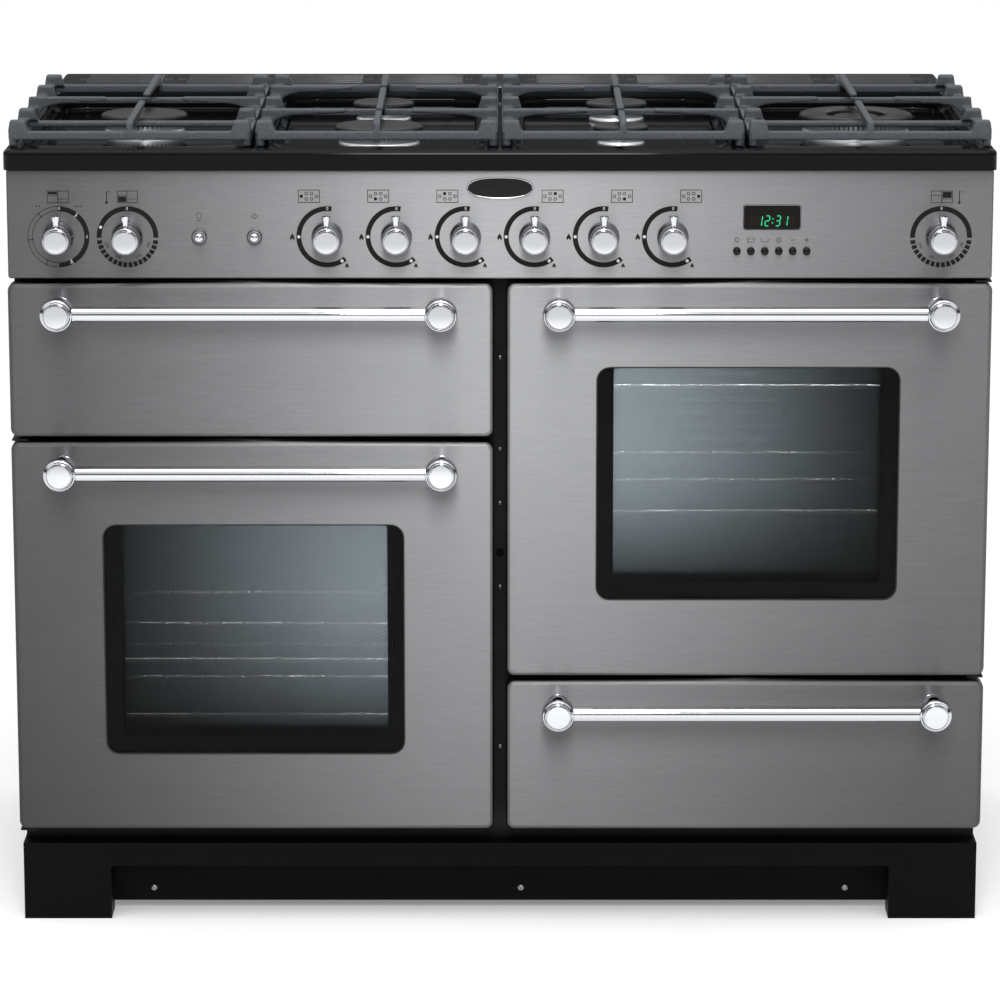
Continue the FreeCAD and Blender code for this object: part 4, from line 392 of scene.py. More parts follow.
@dataclass(frozen=True)
class ToughenedGlass(Finish):
    """Clear or coated flat glass."""

    colour: Colour = (0.02, 0.022, 0.025)
    alpha: float = 0.2
    roughness: float = 0.03
    metallic: float = 0.0
    shine: float = 0.5
    graded: Optional[tuple[float, float, float, float]] = None

    def mix(self, recipe: Recipe) -> None:
        """A thin coat whose tone varies at random over the pane, faint haze and, where a span is given, a
        painted reflection: paler towards one upper corner, near black towards the far side and the bottom.
        """
        recipe.set(Metallic=self.metallic, Alpha=self.alpha, IOR=1.5, Specular_IOR_Level=self.shine)
        haze = recipe.noise(9.0, detail=4.0)
        recipe.gloss(haze, (0.35, 0.75), self.roughness, self.roughness + 0.03)
        tone = recipe.blend(recipe.noise(14.0), shade(self.colour, 0.92), self.colour)
        if self.graded:
            axes = recipe.axes()
            across = recipe.spread(axes[0], self.graded[:2], (0.0, 1.0))
            up = recipe.spread(axes[2], self.graded[2:], (0.0, 1.0))
            # Painted reflection: the tone fades from pale at one side of the span to near black at the other,
            # and from near black at the bottom to pale near the top.
            tone = recipe.times(tone, recipe.curve(across, (
                (0.0, 1.0), (0.2, 0.85), (0.4, 0.58), (0.6, 0.31), (0.8, 0.11), (1.0, 0.02))))
            tone = recipe.times(tone, recipe.curve(up, (
                (0.0, 0.02), (0.1, 0.12), (0.25, 0.4), (0.4, 0.68), (0.6, 0.95), (0.8, 1.0), (1.0, 0.94))))
        recipe.feed(tone, "Base Color")
        recipe.material.surface_render_method = "BLENDED"


@dataclass(frozen=True)
class Ink(Finish):
    """Screen-printed ink on steel."""

    colour: Colour = (0.014, 0.012, 0.012)
    roughness: float = 0.5

    def mix(self, recipe: Recipe) -> None:
        """A thin, slightly uneven film."""
        recipe.set(Specular_IOR_Level=0.08)
        uneven = recipe.noise(500.0, detail=2.0)
        pale = tuple(min(1.0, channel * 1.25 + 0.004) for channel in self.colour)
        recipe.feed(recipe.blend(uneven, self.colour, pale), "Base Color")
        recipe.gloss(uneven, (0.3, 0.7), self.roughness - 0.06, self.roughness + 0.06)


@dataclass(frozen=True)
class Glow(Finish):
    """Lit segments of a display."""

    colour: Colour = (0.0, 0.6, 0.26)
    strength: float = 0.55

    def mix(self, recipe: Recipe) -> None:
        """Emission with the faint unevenness of a lit phosphor."""
        recipe.set(Roughness=0.6, Emission_Strength=self.strength)
        tone = recipe.blend(recipe.noise(900.0), shade(self.colour, 0.72), self.colour)
        recipe.feed(tone, "Emission Color")
        recipe.feed(tone, "Base Color")


STEEL = BrushedSteel("brushed_steel_painted_reflection")
CHROME = Plating("polished_chrome")
SMOKED_CHROME = Plating("smoked_chrome", (0.16, 0.165, 0.175), 0.14, 0.08)
WIRE_CHROME = Plating("plated_wire", (0.85, 0.86, 0.88), 0.1, 0.08)
GLOSS_ENAMEL = Enamel("gloss_black_enamel", (0.0025, 0.0025, 0.003), (0.007, 0.007, 0.0075), 0.06, 0.07, 0.0,
                      0.02, shine=0.13)
FRAME_ENAMEL = Enamel("satin_frame_enamel", (0.01, 0.01, 0.0115), (0.02, 0.02, 0.022), 0.1, 0.4, shine=0.14)
DOOR_ENAMEL = Enamel("door_lining_enamel", (0.012, 0.012, 0.014), (0.07, 0.075, 0.085), 0.16, 0.2, 0.3, 0.05)
OVEN_ENAMEL = Enamel("speckled_oven_enamel", (0.02, 0.022, 0.027), (0.16, 0.17, 0.19), 0.15, 0.22, 0.3, 0.1)
PLINTH_PAINT = Enamel("satin_plinth_paint", (0.0042, 0.0042, 0.0047), (0.008, 0.008, 0.009), 0.1, 0.42, 0.0,
                      0.12, shine=0.045)
SIDE_PAINT = Enamel("side_panel_paint", (0.03, 0.031, 0.033), (0.045, 0.046, 0.048), 0.1, 0.42, 0.0, 0.25,
                    700.0)
CAP_ENAMEL = Enamel("matt_cap_enamel", (0.01, 0.01, 0.011), (0.022, 0.022, 0.024), 0.12, 0.36, 0.0, 0.12,
                    900.0)
VENT_PAINT = Enamel("vent_trim_enamel", (0.012, 0.012, 0.013), (0.022, 0.022, 0.025), 0.1, 0.16, 0.0, 0.04,
                    shine=0.55)
IRON = Casting("enamelled_cast_iron")
ZINC = Spangle("zinc_coated_sheet")
ALUMINIUM = Metal("burner_aluminium", (0.58, 0.58, 0.57), (0.4, 0.39, 0.37), 0.36)
ELEMENT = Metal("element_sheath", (0.2, 0.19, 0.18), (0.1, 0.09, 0.085), 0.5, 400.0)
RAIL_STEEL = Metal("gas_rail_steel", (0.48, 0.46, 0.4), (0.32, 0.3, 0.26), 0.4)
CONTROL_STEEL = Metal("control_housing", (0.4, 0.4, 0.41), (0.28, 0.28, 0.29), 0.42)
BRASS = Metal("brass_fitting", (0.62, 0.44, 0.2), (0.4, 0.28, 0.13), 0.34)
SCREW = Metal("screw_steel", (0.34, 0.34, 0.35), (0.2, 0.2, 0.21), 0.36)
BLACK_SCREW = Metal("blackened_screw", (0.05, 0.05, 0.053), (0.03, 0.03, 0.03), 0.4)
RUBBER = Enamel("seal_rubber", (0.016, 0.016, 0.017), (0.03, 0.03, 0.03), 0.1, 0.7, 0.0, 0.3, 1200.0)
BUTTON_BLACK = Enamel("moulded_black_button", (0.004, 0.004, 0.005), (0.008, 0.008, 0.009), 0.08, 0.1, 0.0,
                      0.02)
BOX_PLASTIC = Enamel("terminal_box_plastic", (0.02, 0.02, 0.021), (0.035, 0.035, 0.037), 0.12, 0.5, 0.0, 0.3)
OUTER_GLASS = ToughenedGlass("outer_door_glass", (0.006, 0.007, 0.008), 0.06, 0.02)
# The inner panes carry a painted reflection, paler towards their upper corner nearest the cooker's middle.
LEFT_INNER_GLASS = ToughenedGlass(
    "coated_left_inner_glass_painted_reflection", (0.3, 0.355, 0.385), 0.62, 0.22, 0.92,
    graded=(-0.115, -0.45, 0.2, 0.468))
RIGHT_INNER_GLASS = ToughenedGlass(
    "coated_right_inner_glass_painted_reflection", (0.4, 0.475, 0.51), 0.62, 0.22, 0.92,
    graded=(0.115, 0.445, 0.38, 0.648))
DISPLAY_GLASS = ToughenedGlass("display_glass", (0.008, 0.007, 0.006), 1.0, 0.06, shine=0.1)
BLACK_INK = Ink("black_print", (0.009, 0.008, 0.008), 0.62)
GREY_INK = Ink("fine_print", (0.022, 0.022, 0.023))
WHITE_INK = Ink("white_print", (0.5, 0.5, 0.5))
GREEN_GLOW = Glow("display_segments")
DIM_SEGMENTS = Ink("dim_segments", (0.035, 0.022, 0.012), 0.3)
BORDER_PRINT = Enamel("glazing_border_print", (0.0015, 0.0015, 0.0018), (0.003, 0.003, 0.003), 0.1, 0.5,
                      shine=0.02)
BADGE_DARK = Enamel("badge_enamel", (0.012, 0.012, 0.013), (0.03, 0.03, 0.033), 0.2, 0.3, 0.0, 0.05,
                    shine=0.1)


# ---------------------------------------------------------------- mesh building
def linked(name: str, data: bpy.types.ID) -> bpy.types.Object:
    """A new object in the scene."""
    made = bpy.data.objects.new(name, data)
    bpy.context.scene.collection.objects.link(made)
    return made


def flow(profile: Profile, steps: int = 4) -> list[tuple[float, float]]:
    """A smooth line through a profile's points.

    Args:
        profile: (radius, distance) pairs.
        steps: how many pieces each stretch gets.

    Returns:
        The denser profile, which passes through the same points and never swings past them.
    """
    points = [Vector(p) for p in profile]
    ends = [points[0], *points, points[-1]]
    line: list[tuple[float, float]] = []
    for before, start, end, after in zip(ends, ends[1:], ends[2:], ends[3:]):
        for step in range(steps):
            t = step / steps
            spot = 0.5 * (2 * start + (end - before) * t + (2 * before - 5 * start + 4 * end - after) * t * t
                          + (3 * start - before - 3 * end + after) * t ** 3)
            line.append(tuple(
                min(max(value, min(pair)), max(pair)) for value, pair in zip(spot, zip(start, end))))
    line.append(tuple(points[-1]))
    return line


def circle(middle: Vector, side: Vector, other: Vector, radius: float, steps: int) -> list[Vector]:
    """Points round a circle in the plane of two unit vectors."""
    turns = (2 * math.pi * number / steps for number in range(steps))
    return [middle + radius * (math.cos(t) * side + math.sin(t) * other) for t in turns]


def dial_point(centre: Point, radius: float, angle: float) -> tuple[float, float]:
    """The (x, z) at a clockwise angle from the top of a circle on the panel."""
    turn = math.radians(angle)
    return centre[0] + radius * math.sin(turn), centre[1] + radius * math.cos(turn)


def rounded_outline(centre: Point, width: float, height: float, radius: float,
                    steps: int) -> list[tuple[float, float]]:
    """The (x, z) points of a rounded rectangle, with so many steps at each corner."""
    points = []
    for quarter, (sx, sz) in enumerate(((1, 1), (-1, 1), (-1, -1), (1, -1))):
        for step in range(steps + 1):
            turn = math.pi / 2 * (quarter + step / steps)
            points.append((centre[0] + sx * (width / 2 - radius) + radius * math.cos(turn),
                           centre[1] + sz * (height / 2 - radius) + radius * math.sin(turn)))
    return points


class Form:
    """A mesh being built, in millimetres of the row frame. Each call adds closed shells."""

    def __init__(self) -> None:
        """Starts with nothing."""
        self.mesh = bmesh.new()

    def shell(self, rings: Sequence[Sequence[Vector]], closed: bool) -> "Form":
        """Adds a skin over rings of points. A ring of one point closes an end.

        Args:
            rings: point rings of one length, or of one point at an end.
            closed: True to join the last ring to the first, as on a torus.

        Returns:
            This form.
        """
        levels = [[self.mesh.verts.new(point) for point in ring] for ring in rings]
        if closed:
            levels.append(levels[0])
        for low, high in zip(levels, levels[1:]):
            count = max(len(low), len(high))
            for number in range(count):
                after = (number + 1) % count
                corners = [low[number % len(low)], low[after % len(low)], high[after % len(high)],
                           high[number % len(high)]]
                self.mesh.faces.new(list(dict.fromkeys(corners)))
        if not closed:
            for level in (levels[0], levels[-1]):
                if len(level) > 2:
                    self.mesh.faces.new(level)
        return self

    def turned(self, profile: Profile, origin: Point, axis: Axis = Axis.FRONT, steps: int = 48) -> "Form":
        """Adds a solid of revolution.

        Args:
            profile: (radius, distance along the axis) pairs. One that starts and ends off the axis is a ring.
            origin: the point that distances are measured from.
            axis: the direction of the axis.
            steps: how many faces go round.

        Returns:
            This form.
        """
        along = axis.vector
        side = along.orthogonal().normalized()
        other = along.cross(side)
        rings = []
        for radius, distance in profile:
            middle = Vector(origin) + along * distance
            rings.append(circle(middle, side, other, radius, steps) if radius > ON_AXIS else [middle])
        return self.shell(rings, min(profile[0][0], profile[-1][0]) > ON_AXIS)

    def prism(self, outline: Sequence[Point], push: Point) -> "Form":
        """Adds a flat outline pushed along a vector."""
        near = [Vector(point) for point in outline]
        return self.shell([near, [point + Vector(push) for point in near]], False)

    def tube(self, path: Sequence[Point], radius: float, steps: int = 12, closed: bool = False) -> "Form":
        """Adds a round bar along a path of points.

        Args:
            path: the points of its centreline.
            radius: the bar's radius.
            steps: how many faces go round.
            closed: True for a loop.

        Returns:
            This form.
        """
        points = [Vector(point) for point in path]
        count = len(points)
        rings = []
        side: Optional[Vector] = None
        for number, point in enumerate(points):
            before = points[number - 1] if number or closed else point
            after = points[(number + 1) % count] if number < count - 1 or closed else point
            along = (after - before).normalized()
            side = along.orthogonal() if side is None else side - along * side.dot(along)
            side.normalize()
            rings.append(circle(point, side, along.cross(side), radius, steps))
        return self.shell(rings, closed)

    def band(self, centre: Point, radii: Point, angles: Point, y: Point, step: float = 4.0) -> "Form":
        """Adds a flat arc on the panel.

        Args:
            centre: the (x, z) of its centre.
            radii: inner and outer radius.
            angles: clockwise from the top, in degrees.
            y: front and back.
            step: degrees a face, at most.

        Returns:
            This form.
        """
        count = max(1, math.ceil((angles[1] - angles[0]) / step))
        whole = angles[1] - angles[0] >= 360.0
        rings = []
        for number in range(count if whole else count + 1):
            angle = angles[0] + (angles[1] - angles[0]) * number / count
            inner, outer = (dial_point(centre, radius, angle) for radius in radii)
            rings.append([Vector((inner[0], y[0], inner[1])), Vector((outer[0], y[0], outer[1])),
                          Vector((outer[0], y[1], outer[1])), Vector((inner[0], y[1], inner[1]))])
        return self.shell(rings, whole)

    def plate(self, outline: Sequence[Point], y: Point) -> "Form":
        """Adds a flat plate on the panel from an (x, z) outline."""
        return self.prism([(px, y[0], pz) for px, pz in outline], (0.0, y[1] - y[0], 0.0))

    def stroke(self, line: Sequence[Point], width: float, y: Point, closed: bool = False) -> "Form":
        """Adds a drawn line on the panel, one short bar for each stretch.

        Args:
            line: (x, z) points.
            width: the line's width.
            y: front and back.
            closed: True to join the last point to the first.

        Returns:
            This form.
        """
        points = [Vector(point) for point in line]
        if closed:
            points.append(points[0])
        for start, end in zip(points, points[1:]):
            along = (end - start).normalized() * width / 2
            side = Vector((-along.y, along.x))
            start, end = start - along * 0.8, end + along * 0.8
            self.plate([start - side, end - side, end + side, start + side], y)
        return self

    def text(self, words: str, place: Point, height: float, y: Point, turn: float = 0.0) -> "Form":
        """Adds plain figures on the panel.

        Args:
            words: figures only.
            place: the (x, z) of their middle.
            height: the height of a figure.
            y: front and back.
            turn: clockwise, in degrees.

        Returns:
            This form.
        """
        curve = bpy.data.curves.new("figures", "FONT")
        curve.body = words
        curve.size = height * 1.4
        curve.align_x = "CENTER"
        curve.align_y = "CENTER"
        curve.resolution_u = 3
        curve.extrude = (y[1] - y[0]) / 2
        made = evaluated(linked("figures", curve), "figures")
        stand = Matrix.Rotation(math.pi / 2, 4, "X")
        spin = Matrix.Rotation(math.radians(turn), 4, "Y")
        middle = Matrix.Translation((place[0], sum(y) / 2, place[1]))
        made.transform(middle @ spin @ stand)
        self.mesh.from_mesh(made)
        bpy.data.curves.remove(curve)
        bpy.data.meshes.remove(made)
        return self

    def mesh_data(self) -> bpy.types.Mesh:
        """The finished mesh in metres, with its faces turned outwards."""
        bmesh.ops.recalc_face_normals(self.mesh, faces=self.mesh.faces)
        bmesh.ops.scale(self.mesh, vec=(MM, MM, MM), verts=self.mesh.verts)
        made = bpy.data.meshes.new("form")
        self.mesh.to_mesh(made)
        self.mesh.free()
        return made


@dataclass
class Fitting:
    """How a mesh becomes a piece of the cooker: its finish, the body it rides on and what it stands for."""

    name: str
    finish: Finish
    body: str = "cabinet"
    slot: Optional[str] = None
    replaces: tuple[str, ...] = ()
    smooth: float = 38.0

    def fit(self, mesh: bpy.types.Mesh) -> bpy.types.Object:
        """Makes the piece.

        Args:
            mesh: the mesh, in metres of the row frame.

        Returns:
            The piece's object.
        """
        mesh.name = self.name
        mesh.materials.clear()
        mesh.materials.append(self.finish.material())
        mesh.polygons.foreach_set("use_smooth", [True] * len(mesh.polygons))
        mesh.set_sharp_from_angle(angle=math.radians(self.smooth))
        piece = linked(self.name, mesh)
        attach(piece, self.body)
        if self.replaces:
            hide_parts(*self.replaces)
        LOG.info("%s: %d faces on %s", self.name, len(mesh.polygons), self.body)
        return piece


def body_of_node(node: str) -> str:
    """The CAD body that a node rides on."""
    return frame["nodes"][node]["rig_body"]


def welded(node: str) -> bpy.types.Mesh:
    """A copy of a CAD node's mesh with its loose triangles joined."""
    work = bmesh.new()
    work.from_mesh(frame["nodes"][node].data)
    bmesh.ops.remove_doubles(work, verts=work.verts, dist=0.02 * MM)
    bmesh.ops.dissolve_degenerate(work, edges=work.edges, dist=0.001 * MM)
    made = bpy.data.meshes.new(node)
    work.to_mesh(made)
    work.free()
    for name in ("custom_normal", "sharp_face"):
        layer = made.attributes.get(name)
        if layer is not None:
            made.attributes.remove(layer)
    return made


def evaluated(piece: bpy.types.Object, name: str) -> bpy.types.Mesh:
    """A plain mesh of an object with its modifiers worked out, after which the object is removed."""
    graph = bpy.context.evaluated_depsgraph_get()
    made = bpy.data.meshes.new_from_object(piece.evaluated_get(graph))
    made.name = name
    bpy.data.objects.remove(piece)
    return made


def settle_normals(mesh: bpy.types.Mesh, angle: float) -> None:
    """Keeps flat faces flat beside small roundings.

    Each corner takes the area-weighted mean of the faces round it that lie within the angle of its own face.

    Args:
        mesh: the mesh to shade.
        angle: the widest angle that is shaded over, in degrees.
    """
    limit = math.cos(math.radians(angle))
    around: list[list[tuple[Vector, float]]] = [[] for _ in mesh.vertices]
    faces = [(face.normal.copy(), face.area) for face in mesh.polygons]
    for face, facts in zip(mesh.polygons, faces):
        for vertex in face.vertices:
            around[vertex].append(facts)
    normals = [Vector((0.0, 0.0, 1.0))] * len(mesh.loops)
    for face, (own, _) in zip(mesh.polygons, faces):
        for loop, vertex in zip(face.loop_indices, face.vertices):
            total = Vector()
            for other, area in around[vertex]:
                if own.dot(other) > limit:
                    total += other * area
            normals[loop] = total.normalized() if total.length > 0 else own
    mesh.normals_split_custom_set(normals)


def smooth_copy(node: str, finish: Finish, slot: Optional[str] = None, angle: float = 30.0,
                name: Optional[str] = None) -> bpy.types.Object:
    """A CAD node shown through a copy whose rounded faces shade smoothly.

    Args:
        node: the CAD node.
        finish: what it is dressed in.
        slot: the record's material slot; it is not used.
        angle: edges sharper than this stay crisp.
        name: the piece's name, if it isn't the node's with a suffix.

    Returns:
        The piece that stands for the node.
    """
    fitting = Fitting(name or node + "_dressed", finish, body_of_node(node), slot, (node,), smooth=angle)
    piece = fitting.fit(welded(node))
    settle_normals(piece.data, angle)
    return piece


def dress(node: str, finish: Finish) -> None:
    """Gives a CAD node a finish in its own material slots."""
    data = frame["nodes"][node].data
    if not data.materials:
        data.materials.append(finish.material())
    for number in range(len(data.materials)):
        data.materials[number] = finish.material()
    LOG.info("%s: dressed in %s", node, finish.name)


# ---------------------------------------------------------------- repeated pieces
SocketOrNumber = Union[bpy.types.NodeSocket, float, Point]


class Graph:
    """A geometry node tree with named inputs, built call by call."""

    def __init__(self, name: str, inputs: Sequence[tuple[str, str]]) -> None:
        """Makes the tree with a geometry input and output, and the other inputs given as (name, kind)."""
        self.tree = bpy.data.node_groups.new(name, "GeometryNodeTree")
        face = self.tree.interface
        face.new_socket("Piece", in_out="INPUT", socket_type="NodeSocketGeometry")
        for label, kind in inputs:
            face.new_socket(label, in_out="INPUT", socket_type="NodeSocket" + kind)
        face.new_socket("Result", in_out="OUTPUT", socket_type="NodeSocketGeometry")
        self.start = self.tree.nodes.new("NodeGroupInput").outputs
        self.end = self.tree.nodes.new("NodeGroupOutput").inputs

    def add(self, kind: str, sources: dict[Union[int, str], SocketOrNumber], output: Union[int, str] = 0,
            **settings: object) -> bpy.types.NodeSocket:
        """Adds a node.

        Args:
            kind: the node's type.
            sources: what goes into each input, a socket or a value.
            output: which output is returned.
            settings: the node's properties.

        Returns:
            The output socket.
        """
        made = self.tree.nodes.new(kind)
        for key, value in settings.items():
            setattr(made, key, value)
        for key, value in sources.items():
            if isinstance(value, bpy.types.NodeSocket):
                self.tree.links.new(value, made.inputs[key])
            else:
                made.inputs[key].default_value = value
        return made.outputs[output]

    def sum(self, first: SocketOrNumber, second: SocketOrNumber) -> bpy.types.NodeSocket:
        """The sum of two vectors."""
        return self.add("ShaderNodeVectorMath", {0: first, 1: second}, operation="ADD")

    def scaled(self, vector: SocketOrNumber, by: SocketOrNumber) -> bpy.types.NodeSocket:
        """A vector times a value."""
        return self.add("ShaderNodeVectorMath", {0: vector, "Scale": by}, operation="SCALE")

    def number(self, operation: str, *values: SocketOrNumber) -> bpy.types.NodeSocket:
        """A sum on numbers."""
        return self.add("ShaderNodeMath", dict(enumerate(values)), operation=operation)

    def lay(self, points: bpy.types.NodeSocket, **turn: SocketOrNumber) -> bpy.types.NodeTree:
        """Ends the tree: the piece on every point, made real and given its material."""
        placed = self.add("GeometryNodeInstanceOnPoints", {
            "Points": points, "Instance": self.start["Piece"], **turn})
        real = self.add("GeometryNodeRealizeInstances", {"Geometry": placed})
        done = self.add("GeometryNodeSetMaterial", {"Geometry": real, "Material": self.start["Material"]})
        self.tree.links.new(done, self.end["Result"])
        return self.tree


def ring_tree() -> bpy.types.NodeTree:
    """Copies of a piece round an arc, each turned to face outwards."""
    graph = Graph("pieces_on_an_arc", (
        ("Count", "Int"), ("Start", "Float"), ("Step", "Float"), ("Arm", "Vector"), ("Axis", "Vector"),
        ("Centre", "Vector"), ("Material", "Material")))
    index = graph.add("GeometryNodeInputIndex", {})
    angle = graph.number("MULTIPLY_ADD", index, graph.start["Step"], graph.start["Start"])
    arm = graph.add("ShaderNodeVectorRotate", {
        "Vector": graph.start["Arm"], "Axis": graph.start["Axis"], "Angle": angle},
        rotation_type="AXIS_ANGLE")
    points = graph.add("GeometryNodePoints", {
        "Count": graph.start["Count"], "Position": graph.sum(arm, graph.start["Centre"])})
    stored = graph.add("FunctionNodeAxisAngleToRotation", {"Axis": graph.start["Axis"], "Angle": angle})
    return graph.lay(points, Rotation=stored)


def grid_tree() -> bpy.types.NodeTree:
    """Copies of a piece in columns and rows."""
    graph = Graph("pieces_on_a_grid", (
        ("Columns", "Int"), ("Rows", "Int"), ("First", "Vector"), ("Column Step", "Vector"),
        ("Row Step", "Vector"), ("Material", "Material")))
    index = graph.add("GeometryNodeInputIndex", {})
    column = graph.number("MODULO", index, graph.start["Columns"])
    share = graph.number("DIVIDE", graph.number("ADD", index, 0.01), graph.start["Columns"])
    row = graph.number("FLOOR", share)
    shift = graph.sum(graph.scaled(graph.start["Column Step"], column),
                      graph.scaled(graph.start["Row Step"], row))
    points = graph.add("GeometryNodePoints", {
        "Count": graph.number("MULTIPLY", graph.start["Columns"], graph.start["Rows"]),
        "Position": graph.sum(graph.start["First"], shift)})
    return graph.lay(points)


class Repeat(ABC):
    """A rule that repeats one small piece by Geometry Nodes."""

    @abstractmethod
    def tree(self) -> bpy.types.NodeTree:
        """The rule's node tree, made once."""

    @abstractmethod
    def values(self) -> dict[str, object]:
        """The tree's inputs, by name."""

    def mesh(self, unit: Form, finish: Finish) -> bpy.types.Mesh:
        """Works the rule out.

        Args:
            unit: the piece, built round the origin.
            finish: the material that the tree sets.

        Returns:
            A plain mesh of all copies.
        """
        work = linked("work_piece", unit.mesh_data())
        modifier = work.modifiers.new("repeat", "NODES")
        modifier.node_group = self.tree()
        names = {item.name: item.identifier for item in modifier.node_group.interface.items_tree
                 if item.in_out == "INPUT"}
        for label, value in {**self.values(), "Material": finish.material()}.items():
            modifier[names[label]] = value
        return evaluated(work, "repeated")


@dataclass
class Ring(Repeat):
    """Copies round an arc. The first stands at the arm's end, turned by start."""

    centre: Point
    arm: Point
    count: int
    step: float
    start: float = 0.0
    axis: Point = (0.0, 0.0, 1.0)

    def tree(self) -> bpy.types.NodeTree:
        """The arc's node tree."""
        return bpy.data.node_groups.get("pieces_on_an_arc") or ring_tree()

    def values(self) -> dict[str, object]:
        """Lengths in metres and angles in radians."""
        return {"Count": self.count, "Start": math.radians(self.start), "Step": math.radians(self.step),
                "Arm": metres(self.arm), "Axis": list(self.axis), "Centre": metres(self.centre)}


@dataclass
class Grid(Repeat):
    """Copies in columns and rows."""

    first: Point
    column_step: Point
    columns: int
    row_step: Point = (0.0, 0.0, 0.0)
    rows: int = 1

    def tree(self) -> bpy.types.NodeTree:
        """The grid's node tree."""
        return bpy.data.node_groups.get("pieces_on_a_grid") or grid_tree()

    def values(self) -> dict[str, object]:
        """Lengths in metres."""
        return {"Columns": self.columns, "Rows": self.rows, "First": metres(self.first),
                "Column Step": metres(self.column_step), "Row Step": metres(self.row_step)}


def metres(place: Point) -> list[float]:
    """A point or step in metres."""
    return [value * MM for value in place]


def joined(meshes: Iterable[bpy.types.Mesh]) -> bpy.types.Mesh:
    """Several meshes in metres as one."""
    work = bmesh.new()
    for mesh in meshes:
        work.from_mesh(mesh)
    made = bpy.data.meshes.new("joined")
    work.to_mesh(made)
    work.free()
    return made


# ---------------------------------------------------------------- studio
@dataclass
class Studio:
    """Pale floor, plain soft light and the camera at the photograph's place."""

    camera_y: float = -5.271
    camera_z: float = 1.577
    pitch_down: float = 12.2
    lens: float = 164.0
    floor_half: float = 60.0
    floor_colour: Colour = (0.86, 0.86, 0.86)
    floor_lift: float = 0.2
    sensor: float = 36.0
    far_clip: float = 300.0

    def build(self) -> None:
        """Makes everything that isn't part of the cooker."""
        scene = bpy.context.scene
        scene.view_settings.view_transform = "Standard"
        self.camera()
        self.world()
        self.floor()
        self.softbox("centre_strip", (0.0, -3.1, 2.35), (0.0, -0.25, 0.55), (0.55, 1.7), 40.0)
        self.softbox("overhead_box", (0.0, -1.3, 3.6), (0.0, 0.0, 0.5), (3.6, 1.6), 42.0)
        self.softbox("left_oven_lamp", (-0.2775, -0.2225, 0.523), (-0.2775, -0.19, 0.2), (0.34, 0.006), 0.5)
        self.softbox("right_oven_lamp", (0.2775, -0.2225, 0.703), (0.2775, -0.19, 0.4), (0.34, 0.006), 0.6)

    def camera(self) -> None:
        """A long lens on the middle line, pitched down."""
        data = bpy.data.cameras.new("photograph_view")
        data.lens = self.lens
        data.sensor_width = self.sensor
        data.clip_end = self.far_clip
        eye = linked("photograph_view", data)
        eye.location = (0.0, self.camera_y, self.camera_z)
        eye.rotation_euler = (math.radians(90.0 - self.pitch_down), 0.0, 0.0)
        bpy.context.scene.camera = eye

    def world(self) -> None:
        """A soft dome: a darker band at the horizon, and bright above it."""
        world = bpy.data.worlds.new("soft_dome")
        world.use_nodes = True
        tree = world.node_tree
        sky = tree.nodes["Background"]
        coords = tree.nodes.new("ShaderNodeTexCoord")
        axes = tree.nodes.new("ShaderNodeSeparateXYZ")
        ramp = tree.nodes.new("ShaderNodeValToRGB")
        fill_ramp(ramp.color_ramp, "EASE", (
            (0.0, 0.1), (0.03, 0.06), (0.17, 0.06), (0.27, 0.35), (0.42, 1.0), (1.0, 1.05)), 1.01)
        tree.links.new(coords.outputs["Generated"], axes.inputs[0])
        tree.links.new(axes.outputs[2], ramp.inputs[0])
        tree.links.new(ramp.outputs[0], sky.inputs["Color"])
        sky.inputs["Strength"].default_value = 1.0
        bpy.context.scene.world = world

    def floor(self) -> None:
        """A wide pale floor, whose own colour reads as white where nothing shades it."""
        far = self.floor_half
        mesh = bpy.data.meshes.new("floor")
        corners = [(-far, -far, 0.0), (far, -far, 0.0), (far, far, 0.0), (-far, far, 0.0)]
        mesh.from_pydata(corners, [], [(0, 1, 2, 3)])
        floor = linked("floor", mesh)
        recipe = Recipe("pale_floor")
        recipe.set(Roughness=0.75, Specular_IOR_Level=0.1)
        recipe.shader.inputs["Base Color"].default_value = (*self.floor_colour, 1.0)
        rays = recipe.node("ShaderNodeLightPath").outputs
        seen = recipe.pair("MAXIMUM", rays["Is Camera Ray"], rays["Is Glossy Ray"])
        seen = recipe.pair("MAXIMUM", seen, rays["Is Transmission Ray"])
        recipe.shader.inputs["Emission Color"].default_value = (1.0, 1.0, 1.0, 1.0)
        recipe.feed(recipe.pair("MULTIPLY", seen, self.floor_lift), "Emission Strength")
        mesh.materials.append(recipe.material)

    def softbox(self, name: str, place: Point, aim: Point, size: Point, watts: float) -> None:
        """A rectangular soft lamp that no camera sees.

        Args:
            name: the lamp's name.
            place: where it stands, in metres.
            aim: the point that it faces.
            size: width and height.
            watts: its power.
        """
        data = bpy.data.lights.new(name, "AREA")
        data.shape = "RECTANGLE"
        data.size, data.size_y = size
        data.energy = watts
        lamp = linked(name, data)
        lamp.location = place
        lamp.rotation_euler = (Vector(aim) - Vector(place)).to_track_quat("-Z", "Y").to_euler()
        lamp.visible_camera = False


